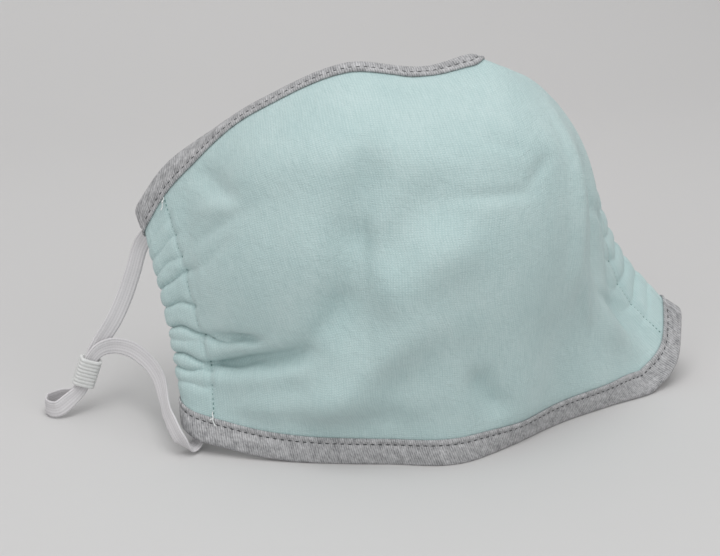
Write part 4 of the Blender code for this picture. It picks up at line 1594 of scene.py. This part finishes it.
@dataclass
class Studio:
    """White sweep, soft light and the camera."""

    LIGHTS = (
        # name         place                  size  watts  looks at
        ("overhead",   (-0.10, -0.34, 1.25),  1.0,  8.7,   (0.0, 0.0, 0.05)),
        ("back_wash",  (0.0, 0.75, 1.3),      1.2,  3.4,   (0.1, 1.0, 0.1)),
        ("left_fill",  (-1.1, -1.1, 0.8),     1.0,  4.4,   (0.0, 0.0, 0.05)),
        ("right_fill", (0.9, -1.1, 0.7),      1.0,  3.5,   (0.0, 0.0, 0.05)),
    )

    lens_mm: float = 76.25
    sensor_mm: float = 36.0
    stand: tuple[float, float, float] = (-0.1464, -0.4840, 0.2310)
    tilt: float = 70.0
    turn: float = -14.0
    sweep_front: float = 2.5      # how far the floor comes towards the camera and past it
    sweep_depth: float = 0.42     # how far it goes back before it curves up
    sweep_radius: float = 0.90
    sweep_height: float = 3.0
    sweep_width: float = 6.0
    room_colour: str = "F6F6F5"
    room_strength: float = 0.45
    finish: PaperFinish = PaperFinish()

    def camera(self, pattern: Pattern) -> None:
        """Stand the camera at the picture's angle.

        Args:
            pattern: The mask's sizes, for its origin.
        """
        data = bpy.data.cameras.new("camera")
        data.lens = self.lens_mm
        data.sensor_width = self.sensor_mm
        data.clip_start = 0.01
        camera = bpy.data.objects.new("camera", data)
        camera.location = Vector(self.stand) + Vector(pattern.origin)
        camera.rotation_euler = (math.radians(self.tilt), 0.0, math.radians(self.turn))
        bpy.context.scene.collection.objects.link(camera)
        bpy.context.scene.camera = camera

    def sweep(self) -> None:
        """Lay the floor, which curves up behind into a backdrop."""
        bm = bmesh.new()
        ends = [bm.verts.new((-self.sweep_width / 2, y, z)) for y, z in self.line()]
        edges = [bm.edges.new(pair) for pair in zip(ends, ends[1:])]
        moved = bmesh.ops.extrude_edge_only(bm, edges=edges)
        bmesh.ops.translate(bm, vec=(self.sweep_width, 0, 0),
                            verts=[v for v in moved["geom"] if isinstance(v, bmesh.types.BMVert)])
        bmesh.ops.recalc_face_normals(bm, faces=bm.faces)
        if bm.faces[0].normal.z < 0:
            bmesh.ops.reverse_faces(bm, faces=bm.faces)
        mesh = bpy.data.meshes.new("sweep")
        bm.to_mesh(mesh)
        bm.free()
        mesh.shade_smooth()
        mesh.materials.append(self.finish.material())
        floor = bpy.data.objects.new("sweep", mesh)
        bpy.context.scene.collection.objects.link(floor)

    def line(self) -> list[tuple[float, float]]:
        """Draw the sweep's side view.

        Returns:
            Depth and height of each point, from the floor's front to the top of the backdrop.
        """
        bend = [(self.sweep_depth + self.sweep_radius * math.sin(a),
                 self.sweep_radius * (1 - math.cos(a)))
                for a in np.linspace(0, math.pi / 2, 25)]
        back = self.sweep_depth + self.sweep_radius
        return [(-self.sweep_front, 0.0)] + bend + [(back, self.sweep_height)]

    def light(self, name: str, place: tuple[float, float, float], size: float, power: float,
              target: tuple[float, float, float]) -> None:
        """Hang a square soft light.

        Args:
            name: Its name.
            place: Where it hangs.
            size: Length of its side.
            power: Its watts.
            target: What it looks at.
        """
        data = bpy.data.lights.new(name, "AREA")
        data.energy = power
        data.size = size
        lamp = bpy.data.objects.new(name, data)
        lamp.location = place
        aim = Vector(target) - Vector(place)
        lamp.rotation_euler = aim.to_track_quat("-Z", "Y").to_euler()
        bpy.context.scene.collection.objects.link(lamp)

    def build(self, pattern: Pattern) -> None:
        """Set up the whole studio.

        Args:
            pattern: The mask's sizes.
        """
        self.camera(pattern)
        self.sweep()
        world = bpy.data.worlds.new("room")
        world.use_nodes = True
        room = world.node_tree.nodes["Background"]
        room.inputs["Color"].default_value = linear(self.room_colour)
        room.inputs["Strength"].default_value = self.room_strength
        bpy.context.scene.world = world
        bpy.context.scene.view_settings.view_transform = "Standard"
        for row in self.LIGHTS:
            self.light(*row)


def main() -> None:
    """Build the dressed mask and its studio, and report every piece."""
    logging.basicConfig(level=logging.INFO, format="%(message)s")
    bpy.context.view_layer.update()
    pattern = Pattern()
    Studio().build(pattern)
    form = ClothForm(pattern)
    CordAdjuster(pattern, "right_sleeve", "adjuster_right", place=(-0.6325, 0.224, 0.119),
                 axis=(0.35, 0.0, 0.94), face=(0.0, -1.0, 0.0)).build()
    CordAdjuster(pattern, "left_sleeve", "adjuster_left", place=(0.218, 0.590, 0.0255),
                 axis=(1.0, 0.0, 0.0), face=(0.0, 0.0, 1.0)).build()
    EarLoop(form, Side.NEAR, "right_elastic", "ear_loop_right", "right_sleeve", 0.285).build()
    EarLoop(form, Side.FAR, "left_elastic", "ear_loop_left", "left_sleeve", 0.298).build()
    strips = (BindingStrip(form, Edge.FOOT, "bottom_binding_strip", "bottom_binding"),
              BindingStrip(form, Edge.HEAD, "top_binding_strip", "top_binding"))
    for strip in strips:
        strip.build()
    JerseyPanel(form).build()
    Seams(form, strips).build()


if __name__ == "__main__":
    main()
